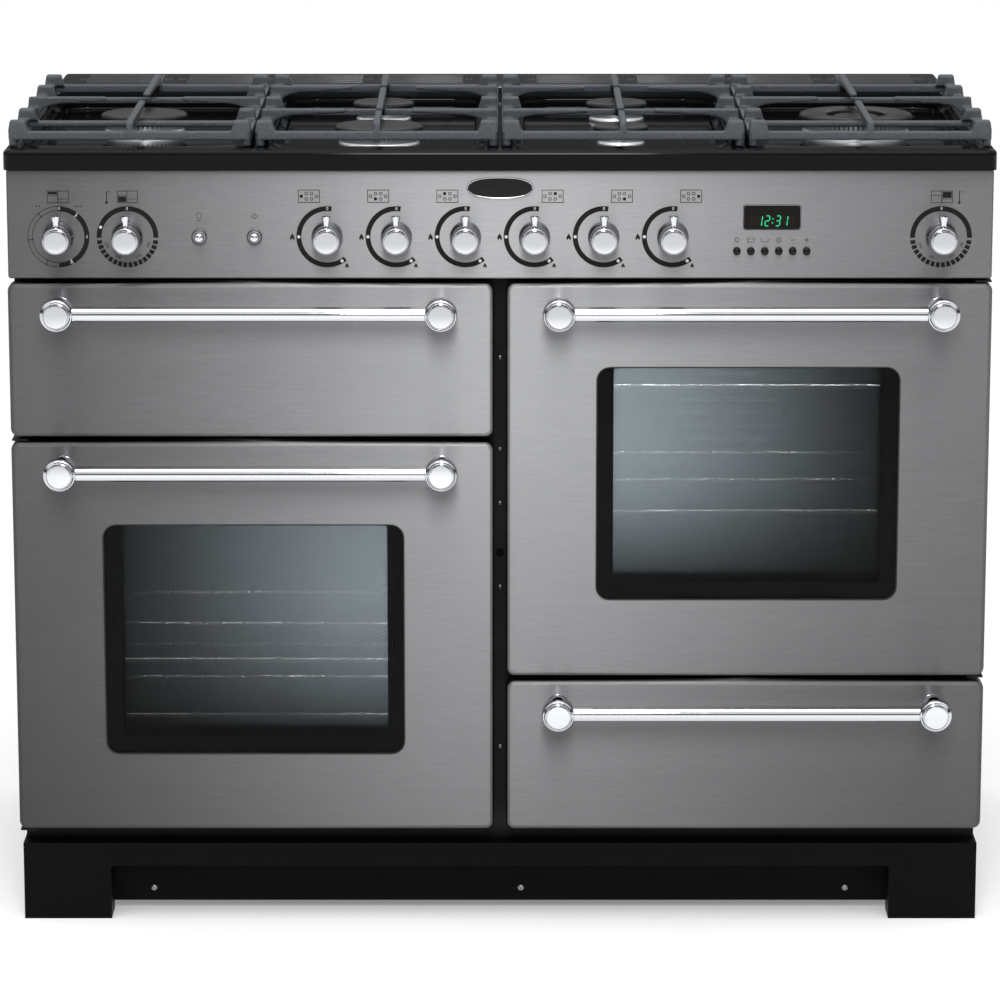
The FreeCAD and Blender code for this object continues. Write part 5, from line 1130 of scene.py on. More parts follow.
# ---------------------------------------------------------------- doors
@dataclass
class Handle:
    """A chrome tube between two turned posts."""

    door: str
    middle: float
    z: float
    span: float = 424.0
    reach: float = 40.0
    bar_radius: float = 8.75
    bar_start: float = 10.0

    POST: Profile = (
        (0, 0), (12.9, 0), (12.9, 1.0), (12.5, 2.0), (12.5, 21.0), (13.3, 25.4), (15.6, 28.3), (17.8, 30.2),
        (18.4, 33.0), (18.4, 45.0), (18.1, 48.8), (17.3, 50.8), (16.2, 51.4), (15.6, 52.4), (14.9, 53.8),
        (14.4, 54.1), (14.1, 53.8), (13.9, 52.6), (13.0, 52.5), (12.9, 53.8), (12.9, 56.9), (12.7, 57.5),
        (12.3, 57.72), (8.0, 57.88), (4.0, 57.97), (0, 58.0))

    def build(self) -> None:
        """Makes the bar and the two posts that it runs into."""
        form = Form()
        y = Y_FACE - self.reach
        ends = (self.middle - self.span / 2, self.middle + self.span / 2)
        for x in ends:
            form.turned(flow(self.POST, 3), (x, Y_FACE, self.z), Axis.FRONT, 56)
        length = self.span - 2 * self.bar_start
        form.turned(((0, 0), (self.bar_radius, 0), (self.bar_radius, length), (0, length)),
                    (ends[0] + self.bar_start, y, self.z), Axis.RIGHT, 56)
        Fitting(self.door + "_handle_chrome", CHROME, self.door, "chrome", (self.door + "_handle",)).fit(
            form.mesh_data())


@dataclass
class PlainFront:
    """A door or drawer front without a window."""

    body: str
    x: tuple[float, float]
    z: tuple[float, float]
    handle: Handle
    screw_side: float = 20.0
    screw_foot: float = 14.0
    screw_top: float = 8.0
    screw_columns: int = 5

    def build(self) -> None:
        """Dresses the skin and the lining behind it, and makes the handle."""
        is_drawer = self.body == "storage_drawer"
        smooth_copy(self.body + ("_front" if is_drawer else "_skin"), STEEL, "stainless",
                    name=self.body + "_steel_front")
        if is_drawer:
            self.drawer_lining()
            smooth_copy("storage_drawer_tray", ZINC, "zinc_sheet")
        else:
            smooth_copy(self.body + "_inner", DOOR_ENAMEL, "dark_enamel")
        self.handle.build()

    def drawer_lining(self) -> None:
        """Screws that hold the lining, seen when the drawer is out."""
        y = Y_FRAME - 6.0
        width = self.x[1] - self.x[0] - 2 * self.screw_side
        rise = self.z[1] - self.z[0] - self.screw_foot - self.screw_top
        grid = Grid((self.x[0] + self.screw_side, y, self.z[0] + self.screw_foot),
                    (width / (self.screw_columns - 1), 0, 0), self.screw_columns, (0, 0, rise), 2)
        Fitting("drawer_lining_screws", SCREW, self.body, "zinc_sheet").fit(
            grid.mesh(screw_head(4.2, 1.2), SCREW))


def screw_head(radius: float, height: float, axis: Axis = Axis.BACK) -> Form:
    """A domed screw head with a cross recess, standing on the origin."""
    profile = ((0, 0), (1, 0), (1, 0.35), (0.86, 0.72), (0.55, 0.93), (0.3, 1), (0.16, 0.55), (0, 0.5))
    return Form().turned([(radius * out, height * up) for out, up in profile], (0, 0, 0), axis, 18)


@dataclass
class OvenDoor:
    """A side-hung door: steel skin, two panes with a black tunnel between them, lining and handle."""

    body: str
    middle: float
    z: float
    height: float = 450.0
    window: tuple[float, float] = (340.0, 268.0)
    window_above: float = 88.0
    handle_below: float = 28.0
    outer_lap: float = 30.0
    outer_pane_y: tuple[float, float] = (Y_FACE + 1.5, Y_FACE + 5.5)
    inner_pane: tuple[float, float] = (323.0, 272.0)
    inner_pane_y: tuple[float, float] = (-238.5, -234.5)
    border_y: tuple[float, float] = (Y_FACE + 5.6, Y_FACE + 6.4)
    border_lap: float = 2.0
    clear_margin: tuple[float, float] = (39.0, 21.0)
    clear_lift: float = 9.0
    bead_inset: float = 1.6

    def build(self) -> None:
        """Dresses or rebuilds each layer, from the outside in."""
        smooth_copy(self.body + "_skin", STEEL, "stainless", name=self.body + "_steel_skin")
        smooth_copy(self.body + "_inner", DOOR_ENAMEL, "dark_enamel")
        self.panes()
        self.glazing_border()
        Handle(self.body, self.middle, self.z + self.height - self.handle_below).build()

    def outline(self, width: float, height: float, radius: float, steps: int = 8,
                lift: float = 0.0) -> list[tuple[float, float]]:
        """A rounded rectangle round the window's middle, or higher by the lift."""
        centre = (self.middle, self.z + self.window_above + self.window[1] / 2 + lift)
        return rounded_outline(centre, width, height, radius, steps)

    def panes(self) -> None:
        """The clear outer pane and the coated inner pane."""
        width, height = self.window
        outer = Form().plate(self.outline(width + self.outer_lap, height + self.outer_lap, 6),
                             self.outer_pane_y)
        Fitting(self.body + "_outer_pane", OUTER_GLASS, self.body, "door_glass", (self.body + "_glass",)).fit(
            outer.mesh_data())
        inner = Form().plate(self.outline(*self.inner_pane, 16), self.inner_pane_y)
        coating = LEFT_INNER_GLASS if self.middle < 0 else RIGHT_INNER_GLASS
        Fitting(self.body + "_inner_pane", coating, self.body, "door_glass").fit(inner.mesh_data())

    def glazing_border(self) -> None:
        """The black border printed behind the outer pane, and the bead round the window."""
        width, height = self.window
        front, back = self.border_y
        outer = self.outline(width + self.border_lap, height + self.border_lap, 17)
        inner = self.outline(width - self.clear_margin[0], height - self.clear_margin[1], 5,
                             lift=self.clear_lift)
        border = Form().shell([[Vector((px, y, pz)) for px, pz in line] for line, y in (
            (outer, front), (inner, front), (inner, back), (outer, back))], True)
        Fitting(self.body + "_glazing_border", BORDER_PRINT, self.body, "dark_enamel").fit(
            border.mesh_data())
        line = self.outline(width - self.bead_inset, height - self.bead_inset, 15.2, 10)
        bead = Form().tube([(px, Y_FACE + 1.4, pz) for px, pz in line], 0.9, 8, closed=True)
        Fitting(self.body + "_window_bead", RUBBER, self.body, "seal_rubber").fit(bead.mesh_data())


# ---------------------------------------------------------------- control panel
@dataclass
class ControlPanel:
    """Steel panel with its printed dials and diagrams, badge plate, clock and buttons."""

    print_y: tuple[float, float] = (Y_PANEL - 0.14, Y_PANEL)
    mark_y: tuple[float, float] = (Y_PANEL - 0.26, Y_PANEL - 0.1)
    dial: tuple[float, float] = (28.8, 34.3)
    gas_x: tuple[float, ...] = (-191.75, -115.05, -38.35, 38.35, 115.05, 191.75)
    grill_x: float = -490.0
    left_oven_x: float = -413.5
    right_oven_x: float = 489.5
    clock_x: float = 301.8
    clock_z: float = 816.0
    digits_z: float = 806.2
    buttons_z: float = 778.0
    button_pitch: float = 15.5
    push_x: tuple[float, float] = (-333.8, -272.5)
    push_symbols_z: float = 817.0
    clock_symbols_z: float = 790.4
    hob_diagrams_z: float = 839.4
    oven_diagrams_z: tuple[float, float] = (832.2, 845.2)
    badge_z: float = 849.0
    badge_half: tuple[float, float] = (37.0, 12.2)
    flame_radius: float = 38.8
    dot_radius: float = 1.75
    black: Form = field(default_factory=Form)
    grey: Form = field(default_factory=Form)
    white: Form = field(default_factory=Form)

    def build(self) -> None:
        """Makes the panel and everything fixed to it."""
        smooth_copy("control_panel", STEEL, "stainless", name="control_panel_steel")
        for number, x in enumerate(self.gas_x):
            self.gas_dial(x)
            self.hob_diagram(x + (-20.0 if number < 3 else 20.0), number)
        self.grill_dial()
        self.oven_dial(self.left_oven_x, True)
        self.oven_dial(self.right_oven_x, False)
        self.oven_diagram(self.grill_x, "grill")
        self.oven_diagram(self.left_oven_x, "left")
        self.oven_diagram(self.right_oven_x, "right")
        self.button_symbols()
        self.clock_symbols()
        Fitting("panel_black_print", BLACK_INK).fit(self.black.mesh_data())
        Fitting("panel_fine_print", GREY_INK).fit(self.grey.mesh_data())
        Fitting("panel_white_print", WHITE_INK).fit(self.white.mesh_data())
        self.badge_plate()
        self.clock()
        self.bezels()

    def gas_dial(self, x: float) -> None:
        """An arc from off, anticlockwise to low, with two flames beside it."""
        centre = (x, Z_KNOB)
        middle = sum(self.dial) / 2
        self.black.band(centre, self.dial, (-219.0, 9.0), self.print_y)
        self.white.text("0", dial_point(centre, middle, 0.5), 3.7, self.mark_y)
        for angle in (-90.0, -211.0):
            self.dot(self.white, dial_point(centre, middle, angle), self.dot_radius, (0.1, 0.26))
        for angle, height in ((-90.0, 7.6), (-214.0, 5.8)):
            self.flame(dial_point(centre, self.flame_radius, angle), height)

    def dot(self, ink: Form, place: Point, radius: float, height: Point = (0.0, 0.14),
            steps: int = 20) -> None:
        """A round dot of ink between two heights over the panel."""
        low, high = height
        ink.turned(((0, low), (radius, low), (radius, high), (0, high)), (place[0], Y_PANEL, place[1]),
                   Axis.FRONT, steps)

    def flame(self, place: Point, height: float) -> None:
        """A small flame symbol."""
        half = [(0.0, 0.5), (0.12, 0.3), (0.26, 0.08), (0.34, -0.16), (0.3, -0.38), (0.16, -0.5),
                (0.12, -0.34), (0.0, -0.2)]
        line = half + [(-px, pz) for px, pz in reversed(half[1:-1])]
        self.black.plate([(place[0] + px * height, place[1] + pz * height) for px, pz in line], self.print_y)

    def grill_dial(self) -> None:
        """A dial for two elements: outlined on the left, solid on the right."""
        centre = (self.grill_x, Z_KNOB)
        inner, outer = self.dial
        middle = (inner + outer) / 2
        self.black.band(centre, self.dial, (0.0, 180.0), self.print_y)
        for radius in (inner + 0.3, outer - 0.3):
            self.black.band(centre, (radius - 0.3, radius + 0.3), (-180.0, 0.0), self.print_y)
        for angle in (-40.0, -96.0, -155.0):
            self.black.stroke([dial_point(centre, radius, angle) for radius in (inner - 0.6, outer + 0.6)],
                              0.8, self.print_y)
        for angle in (37.0, 150.0):
            self.white.stroke([dial_point(centre, radius, angle + 2) for radius in self.dial], 0.7,
                              self.mark_y)
        for angle, words in ((2.5, "0"), (41.0, "1"), (90.0, "2"), (155.0, "3")):
            self.white.text(words, dial_point(centre, middle, angle), 3.3, self.mark_y)
        for offset in (-24.0, -20.4, 19.4, 22.6, 25.8):
            self.dot(self.grey, (self.grill_x + offset, Z_KNOB + 34.2), 0.95, steps=14)

    def oven_dial(self, x: float, with_dot: bool) -> None:
        """A temperature dial: solid above, and cut into sixteen blocks below."""
        centre = (x, Z_KNOB)
        middle = sum(self.dial) / 2
        self.black.band(centre, self.dial, (-92.0, 92.0), self.print_y)
        self.white.text("0", dial_point(centre, middle, 0.0), 3.5, self.mark_y)
        if with_dot:
            self.dot(self.white, dial_point(centre, middle, -70.0), self.dot_radius, (0.1, 0.26))
        block = Form().band((0.0, -middle), self.dial, (-3.9, 3.9), (-0.14, 0.0))
        blocks = Ring((x, Y_PANEL, Z_KNOB), (0.0, 0.0, middle), 16, 10.55, 101.0, (0.0, 1.0, 0.0))
        side = "left" if with_dot else "right"
        Fitting(side + "_oven_dial_blocks", BLACK_INK).fit(blocks.mesh(block, BLACK_INK))
        for angle, words in ((112.0, "100"), (152.0, "150"), (205.0, "200"), (248.0, "250")):
            self.black.text(words, dial_point(centre, 24.8, angle), 3.2, self.print_y, angle + 180.0)

    def hob_diagram(self, x: float, number: int) -> None:
        """Six rings in a box, with the knob's own burner filled."""
        z = self.hob_diagrams_z
        self.frame_box((x - 11.7, x + 11.7), (z - 6.9, z + 6.9), 0.8)
        places = ((-8.4, 0.0), (-2.9, -3.0), (-2.9, 3.0), (2.9, 3.0), (2.9, -3.0), (8.4, 0.0))
        for index, (dx, dz) in enumerate(places):
            spot = (x + dx, z + dz)
            if index == number:
                self.dot(self.black, spot, 1.9)
            else:
                self.grey.band(spot, (1.15, 1.95), (0.0, 360.0), self.print_y, 20.0)

    def draw(self, place: Point, line: Sequence[Point], width: float = 0.55, closed: bool = False) -> None:
        """Draws a fine line through (x, z) steps from a place."""
        self.grey.stroke([(place[0] + dx, place[1] + dz) for dx, dz in line], width, self.print_y, closed)

    def frame_box(self, x: Point, z: Point, width: float) -> None:
        """The outline of a box."""
        self.grey.stroke([(x[0], z[0]), (x[1], z[0]), (x[1], z[1]), (x[0], z[1])], width, self.print_y, True)

    def oven_diagram(self, x: float, which: str) -> None:
        """The cooker's three cavities in a box, one filled, with a thermometer by an oven's."""
        z = self.oven_diagrams_z
        left = (x - 11.6 + (1.2 if which == "left" else 0.0), x)
        right = (x, x + 11.8)
        self.frame_box(left, z, 0.7)
        self.frame_box(right, z, 0.7)
        grill = (z[1] - 4.6, z[1])
        cells = {"grill": (left, grill), "left": (left, (z[0], z[1] - 5.2)),
                 "right": (right, (z[0] + 4.4, z[1]))}
        self.grey.stroke([(left[0], z[1] - 4.9), (left[1], z[1] - 4.9)], 0.5, self.print_y)
        self.grey.stroke([(right[0], z[0] + 4.1), (right[1], z[0] + 4.1)], 0.5, self.print_y)
        filled, level = cells[which]
        self.black.plate([(filled[0] + 0.9, level[0] + 0.9), (filled[1] - 0.9, level[0] + 0.9),
                          (filled[1] - 0.9, level[1] - 0.9), (filled[0] + 0.9, level[1] - 0.9)], self.print_y)
        if which == "grill":
            return
        stem = x + (-22.5 if which == "left" else 19.5)
        self.black.stroke([(stem, z[0]), (stem, z[1])], 0.9, self.print_y)
        self.dot(self.black, (stem, z[0]), 1.4, steps=16)
        self.grey.band((stem + 3.2, z[1] - 1.0), (0.7, 1.1), (0.0, 360.0), self.print_y, 30.0)

    def button_symbols(self) -> None:
        """A bulb over the light button and a spark over the ignition button."""
        bulb, spark = ((x, self.push_symbols_z) for x in self.push_x)
        self.grey.band((bulb[0], bulb[1] + 1.4), (2.5, 3.0), (-140.0, 140.0), self.print_y, 12.0)
        for side in (-1, 1):
            self.draw(bulb, [(side * 1.8, -0.8), (side * 1.2, -2.6), (side * 1.2, -4.8)], 0.5)
        self.draw(bulb, [(-1.2, -5.0), (1.2, -5.0)], 0.6)
        star = [dial_point((0.0, 0.0), 1.9 if point % 2 else 3.4, point * 45.0) for point in range(8)]
        self.draw(spark, star, closed=True)

    def clock_symbols(self) -> None:
        """Small symbols over the six clock buttons."""
        bell, steam, pan, hand, minus, plus = ((x, self.clock_symbols_z) for x in self.clock_button_xs())
        self.draw(bell, [(-1.9, -1.6), (-1.9, 1.2), (-0.9, 2.6), (0.9, 2.6), (1.9, 1.2), (1.9, -1.6)],
                  closed=True)
        self.draw(bell, [(0.0, -1.8), (0.0, -3.0)])
        for place in (steam, pan):
            self.draw(place, [(-4.6, 0.9), (-3.6, 0.9), (-3.6, -2.2), (3.6, -2.2), (3.6, 0.9), (4.6, 0.9)])
        for step in range(-2, 3):
            self.draw(steam, [(step * 1.7, 1.2), (step * 1.7, 2.6)])
        self.draw(hand, [(-1.9, -2.6), (-2.4, 0.4), (-1.2, 2.6), (1.9, 2.6), (1.9, -2.6)], closed=True)
        self.draw(hand, [(-2.2, 0.0), (1.7, 0.0)])
        for place in (minus, plus):
            self.draw(place, [(-2.3, 0.0), (2.3, 0.0)], 0.7)
        self.draw(plus, [(0.0, -2.3), (0.0, 2.3)], 0.7)

    def clock_button_xs(self) -> list[float]:
        """The middles of the six clock buttons."""
        return [self.clock_x + (number - 2.5) * self.button_pitch for number in range(6)]

    def badge_plate(self) -> None:
        """A plain oval plate with nothing on it, in a chrome rim."""
        wide, high = self.badge_half

        def oval(grow: float, y: float) -> list[Vector]:
            points = []
            for step in range(72):
                turn = 2 * math.pi * step / 72
                cos, sin = math.cos(turn), math.sin(turn)
                points.append(Vector((
                    (wide + grow) * math.copysign(abs(cos) ** 0.8, cos), y,
                    self.badge_z + (high + grow) * math.copysign(abs(sin) ** 0.9, sin))))
            return points

        rim = Form().shell([oval(-1.9, Y_PANEL - 1.0), oval(-1.4, Y_PANEL - 1.9), oval(-0.7, Y_PANEL - 2.2),
                            oval(-0.15, Y_PANEL - 1.6), oval(0.0, Y_PANEL), oval(-1.9, Y_PANEL)], True)
        Fitting("badge_rim", CHROME, slot="chrome").fit(rim.mesh_data())
        middle = [Vector((0.0, Y_PANEL - 1.75, self.badge_z))]
        domes = [oval(-1.9 - 0.3 * wide * share, Y_PANEL - 1.25 - 0.45 * share)
                 for share in (0.99, 0.6, 0.25, 0.0)]
        plate = Form().shell([middle, *domes, oval(-1.9, Y_PANEL)], False)
        Fitting("badge_plate_blank", BADGE_DARK, slot="dark_enamel", smooth=60.0).fit(plate.mesh_data())

    def clock(self) -> None:
        """Display window with slanted figures behind it and a thin bezel round it."""
        dress("clock_display", DISPLAY_GLASS)
        y = Y_PANEL + 0.25
        line = rounded_outline((self.clock_x, self.clock_z), 63.4, 27.0, 3.0, 6)
        bezel = Form().tube([(px, Y_PANEL - 0.1, pz) for px, pz in line], 0.75, 8, True)
        Fitting("clock_bezel", SMOKED_CHROME, slot="chrome").fit(bezel.mesh_data())
        figures = Form()
        for word, x in (("1", 288.4), ("2", 296.6), ("3", 308.4), ("1", 316.6)):
            self.digit(figures, word, x, y)
        for dz in (-2.2, 2.2):
            figures.plate([(px + dz * 0.12, pz) for px, pz in (
                (301.9, 811.2 + dz), (303.1, 811.2 + dz), (303.1, 812.5 + dz), (301.9, 812.5 + dz))],
                (y - 0.05, y + 0.05))
        Fitting("clock_figures", GREEN_GLOW, slot="clock_glass").fit(figures.mesh_data())
        cells = Form().stroke([(0.0, -4.6), (1.1, 4.6)], 0.35, (-0.03, 0.03))
        faint = Grid((self.clock_x - 24.0, y + 0.03, 811.8), (2.9, 0.0, 0.0), 17)
        Fitting("clock_dim_segments", DIM_SEGMENTS).fit(faint.mesh(cells, DIM_SEGMENTS))

    def digit(self, form: Form, word: str, x: float, y: float) -> None:
        """A seven-segment figure, leaning to the right."""
        lit = {"1": "bc", "2": "abged", "3": "abgcd"}[word]
        wide, high, lean, width = 5.4, 11.2, 0.13, 0.95
        low, middle, top = (self.digits_z + share * high for share in (0.0, 0.5, 1.0))
        lines = {
            "a": ((-0.5, top), (0.5, top)), "b": ((0.5, top), (0.5, middle)),
            "c": ((0.5, middle), (0.5, low)), "d": ((-0.5, low), (0.5, low)),
            "e": ((-0.5, middle), (-0.5, low)), "g": ((-0.5, middle), (0.5, middle))}
        for name in lit:
            points = []
            for share, z in lines[name]:
                points.append((x + share * (wide - width) + (z - middle) * lean, z))
            start, end = (Vector(point) for point in points)
            gap = (end - start).normalized() * 0.9
            form.stroke([start + gap, end - gap], width, (y - 0.05, y + 0.05))

    def bezels(self) -> None:
        """Chrome rings round the two push buttons, over the switches' own noses."""
        ring = ((6.05, 0.0), (8.76, 0.0), (8.76, 1.6), (8.3, 3.2), (7.4, 4.05), (6.6, 4.05), (6.05, 3.4))
        for x, name in zip(self.push_x, ("light", "ignition")):
            form = Form().turned(ring, (x, Y_PANEL, Z_KNOB), Axis.FRONT, 48)
            Fitting(name + "_button_bezel", SMOKED_CHROME, slot="chrome").fit(form.mesh_data())


@dataclass
class Knobs:
    """The nine chrome knobs, the two push buttons and the six clock buttons."""

    panel: ControlPanel

    BELL: Profile = (
        (0, 1.0), (17.5, 1.0), (17.5, 3.0), (17.0, 4.4), (15.6, 6.6), (14.1, 9.6), (13.3, 14.0), (13.2, 19.0),
        (13.9, 23.6), (15.1, 27.4), (15.6, 30.4), (15.5, 33.0), (15.1, 35.4), (14.6, 36.9), (14.1, 37.5),
        (13.7, 37.3), (13.5, 35.9), (12.5, 35.8), (12.4, 37.4), (12.4, 41.0), (12.2, 41.5), (11.7, 41.72),
        (8.0, 41.88), (4.0, 41.97), (0, 42.0))
    POINTER: Profile = (
        (0, 6), (3.3, 6), (3.2, 14.0), (3.3, 17.0), (3.9, 20.6), (4.8, 24.0), (5.2, 25.6), (5.0, 26.5),
        (4.3, 26.95), (0, 27.0))
    PUSH: Profile = (
        (0, -20), (5.9, -20), (5.9, 4.0), (5.88, 6.2), (5.5, 8.2), (4.4, 9.8), (2.6, 10.75), (0, 11.0))
    CLOCK: Profile = (
        (0, -6), (4.2, -6), (4.2, 1.6), (4.0, 2.9), (3.2, 3.9), (1.8, 4.4), (0, 4.5))

    def build(self) -> None:
        """Makes each control on its own body."""
        places = {"grill_knob": self.panel.grill_x, "left_oven_knob": self.panel.left_oven_x,
                  "right_oven_knob": self.panel.right_oven_x}
        for number, x in enumerate(self.panel.gas_x, 1):
            places["gas_knob_" + str(number)] = x
        for name, x in places.items():
            self.knob(name, x)
        for name, x in zip(("light_button", "ignition_button"), self.panel.push_x):
            form = Form().turned(flow(self.PUSH, 4), (x, Y_PANEL, Z_KNOB), Axis.FRONT, 40)
            Fitting(name + "_chrome", CHROME, name, "chrome", (name,)).fit(form.mesh_data())
        for number, x in enumerate(self.panel.clock_button_xs(), 1):
            name = "clock_button_" + str(number)
            form = Form().turned(flow(self.CLOCK, 3), (x, Y_PANEL, self.panel.buttons_z), Axis.FRONT, 32)
            Fitting(name + "_black", BUTTON_BLACK, name, "button_plastic", (name,)).fit(form.mesh_data())

    def knob(self, name: str, x: float) -> None:
        """A bell-shaped knob with a flared pointer, and its spindle."""
        form = Form()
        form.turned(flow(self.BELL, 3), (x, Y_PANEL, Z_KNOB), Axis.FRONT, 64)
        form.turned(flow(self.POINTER, 4), (x, Y_PANEL - 27.0, Z_KNOB), Axis.UP, 36)
        form.turned(((0, -16), (3, -16), (3, 4), (0, 4)), (x, Y_PANEL, Z_KNOB), Axis.FRONT, 24)
        Fitting(name + "_chrome", CHROME, name, "chrome", (name,)).fit(form.mesh_data())


# ---------------------------------------------------------------- hotplate
@dataclass(frozen=True)
class BurnerSize:
    """One burner's place and cap radius."""

    x: float
    y: float
    cap: float
    wok: bool = False


@dataclass
class Hob:
    """Hotplate, six burners, four cast supports and the vent trim behind them."""

    burners: tuple[BurnerSize, ...] = (
        BurnerSize(-410.625, -34.0, 50.0), BurnerSize(-136.875, -140.0, 50.0),
        BurnerSize(-136.875, 72.0, 36.3), BurnerSize(136.875, 72.0, 36.3),
        BurnerSize(136.875, -140.0, 31.0), BurnerSize(410.625, -34.0, 65.5, True))
    crown_height: float = 16.0
    cup: float = 26.0
    throat_share: float = 0.55
    port_pitch: float = 5.4
    port_gap: float = 0.95
    port_floor: float = 9.0
    wok_share: float = 0.52
    voxel: float = 1.4
    vent_groups: tuple[float, ...] = (-456.0, -334.0, -212.0, -90.0, 90.0, 212.0, 334.0, 456.0)
    vent_y: tuple[float, float] = (208.0, 323.0)
    vent_top: float = 905.0

    def build(self) -> None:
        """Makes the hob from the hotplate up."""
        smooth_copy("hotplate", GLOSS_ENAMEL, "gloss_enamel", angle=35.0)
        self.crowns()
        self.caps()
        for number in range(1, 5):
            self.support("pan_support_" + str(number))
        smooth_copy("rear_vent_trim", VENT_PAINT, "vent_steel", angle=35.0)
        self.vent_details()

    def crowns(self) -> None:
        """Aluminium rings with their flame ports cut as teeth."""
        meshes = []
        rings = Form()
        for burner in self.burners:
            outer = burner.cap - 6.0
            throat = burner.cap * self.throat_share
            rings.turned((
                (throat - 0.05, -self.cup), (throat - 0.05, 0.0), (outer + 2.0, 0.0), (outer + 2.2, 1.4),
                (outer + 1.7, 3.2), (outer + 0.3, 4.4), (outer, 5.6), (outer, 9.2), (outer - 6.0, 9.2),
                (outer - 8.0, 5.0), (throat - 4.0, 2.0), (throat - 4.0, 3.0 - self.cup),
                (5.0, 3.0 - self.cup), (5.0, -self.cup)), (burner.x, burner.y, Z_WELL), Axis.UP, 72)
            if burner.wok:
                low, inner = Z_WELL - self.cup + 3.0, burner.cap * self.wok_share
                rise = Z_WELL + self.crown_height - low
                rings.turned(((5, 0), (16, 0), (16, rise - 9), (inner - 8, rise - 6), (inner - 8, rise - 3),
                              (5, rise - 3)), (burner.x, burner.y, low), Axis.UP, 48)
            count = int(2 * math.pi * outer / self.port_pitch)
            half = math.pi * outer / count - self.port_gap
            sides = [(-6.0, 0.4 - half, 0.0), (0.0, -half, 0.0), (0.0, half, 0.0), (-6.0, half - 0.4, 0.0)]
            tooth = Form().prism(sides, (0.0, 0.0, self.crown_height - self.port_floor))
            centre = (burner.x, burner.y, Z_WELL + self.port_floor)
            ring = Ring(centre, (outer, 0.0, 0.0), count, 360.0 / count)
            meshes.append(ring.mesh(tooth, ALUMINIUM))
        meshes.append(rings.mesh_data())
        Fitting("burner_crowns_aluminium", ALUMINIUM, slot="burner_aluminium",
                replaces=("burner_crowns",)).fit(joined(meshes))

    def caps(self) -> None:
        """Black caps with a rolled edge and a shallow dish."""
        form = Form()
        top = Z_WELL + self.crown_height
        for burner in self.burners:
            if burner.wok:
                inner = burner.cap * self.wok_share
                form.turned(self.ring_cap(burner.cap, inner), (burner.x, burner.y, top), Axis.UP, 96)
                form.turned(self.cap(inner - 7.0), (burner.x, burner.y, top - 3.0), Axis.UP, 64)
            else:
                form.turned(self.cap(burner.cap), (burner.x, burner.y, top), Axis.UP, 96)
        Fitting("burner_caps_enamelled", CAP_ENAMEL, slot="cap_enamel", replaces=("burner_caps",)).fit(
            form.mesh_data())

    def cap(self, radius: float) -> list[tuple[float, float]]:
        """Profile of a disc cap."""
        return flow(((0, 0), (radius - 3.0, 0), (radius - 0.9, 0.7), (radius, 2.4), (radius - 0.35, 4.2),
                     (radius - 1.7, 5.7), (radius - 4.2, 6.55), (radius - 8.0, 6.8), (radius * 0.5, 6.9),
                     (0, 7.0)), 3)

    def ring_cap(self, radius: float, inner: float) -> list[tuple[float, float]]:
        """Profile of the wok burner's ring cap."""
        return [(inner, 0), (radius - 3.0, 0), (radius - 0.9, 0.7), (radius, 2.4), (radius - 0.35, 4.2),
                (radius - 1.7, 5.7), (radius - 4.2, 6.55), (radius - 8.0, 6.8), (inner + 6.0, 6.5),
                (inner + 2.0, 5.6), (inner + 0.4, 4.6), (inner, 3.4)]

    def support(self, node: str) -> None:
        """A cast support: the machined shape with every edge and joint softened as in a mould."""
        work = linked("work_piece", welded(node))
        remesh = work.modifiers.new("cast", "REMESH")
        remesh.mode = "VOXEL"
        remesh.voxel_size = self.voxel * MM
        soft = work.modifiers.new("fettled", "SMOOTH")
        soft.factor = 0.5
        soft.iterations = 2
        Fitting(node + "_casting", IRON, node, "pan_support_iron", (node,), smooth=60.0).fit(
            evaluated(work, node))

    def vent_details(self) -> None:
        """Pressed ribs beside the slots, punched dots at the groups' ends, and the fixing screws."""
        middle_y = sum(self.vent_y) / 2
        ribs = [Grid((middle, middle_y - 32.0, self.vent_top - 0.25), (0, 16.0, 0), 5).mesh(
            self.rib(), VENT_PAINT) for middle in self.vent_groups]
        Fitting("vent_ribs", VENT_PAINT, slot="vent_steel").fit(joined(ribs))
        dots = []
        dimple = ((0, -0.4), (1.9, -0.4), (1.9, 0.0), (1.5, 0.45), (0.9, 0.5), (0, 0.2))
        for middle in self.vent_groups:
            for end in (-52.5, 52.5):
                first = (middle + end - 2.6, middle_y - 6.4, self.vent_top)
                dots.append(Grid(first, (5.2, 0, 0), 2, (0, 6.4, 0), 3).mesh(
                    Form().turned(dimple, (0, 0, 0), Axis.UP, 14), VENT_PAINT))
        Fitting("vent_dimples", VENT_PAINT, slot="vent_steel").fit(joined(dots))
        screws = Grid((-520.0, self.vent_y[0] + 9.0, self.vent_top), (520.0, 0, 0), 3).mesh(
            screw_head(3.6, 1.2, Axis.UP), BLACK_SCREW)
        Fitting("vent_screws", BLACK_SCREW, slot="vent_steel").fit(screws)

    def rib(self) -> Form:
        """One rounded rib, 92 mm long."""
        return Form().turned(flow(((0, -46), (0.9, -45.4), (1.3, -44), (1.3, 44), (0.9, 45.4), (0, 46)), 2),
                             (0, 0, 0), Axis.RIGHT, 10)


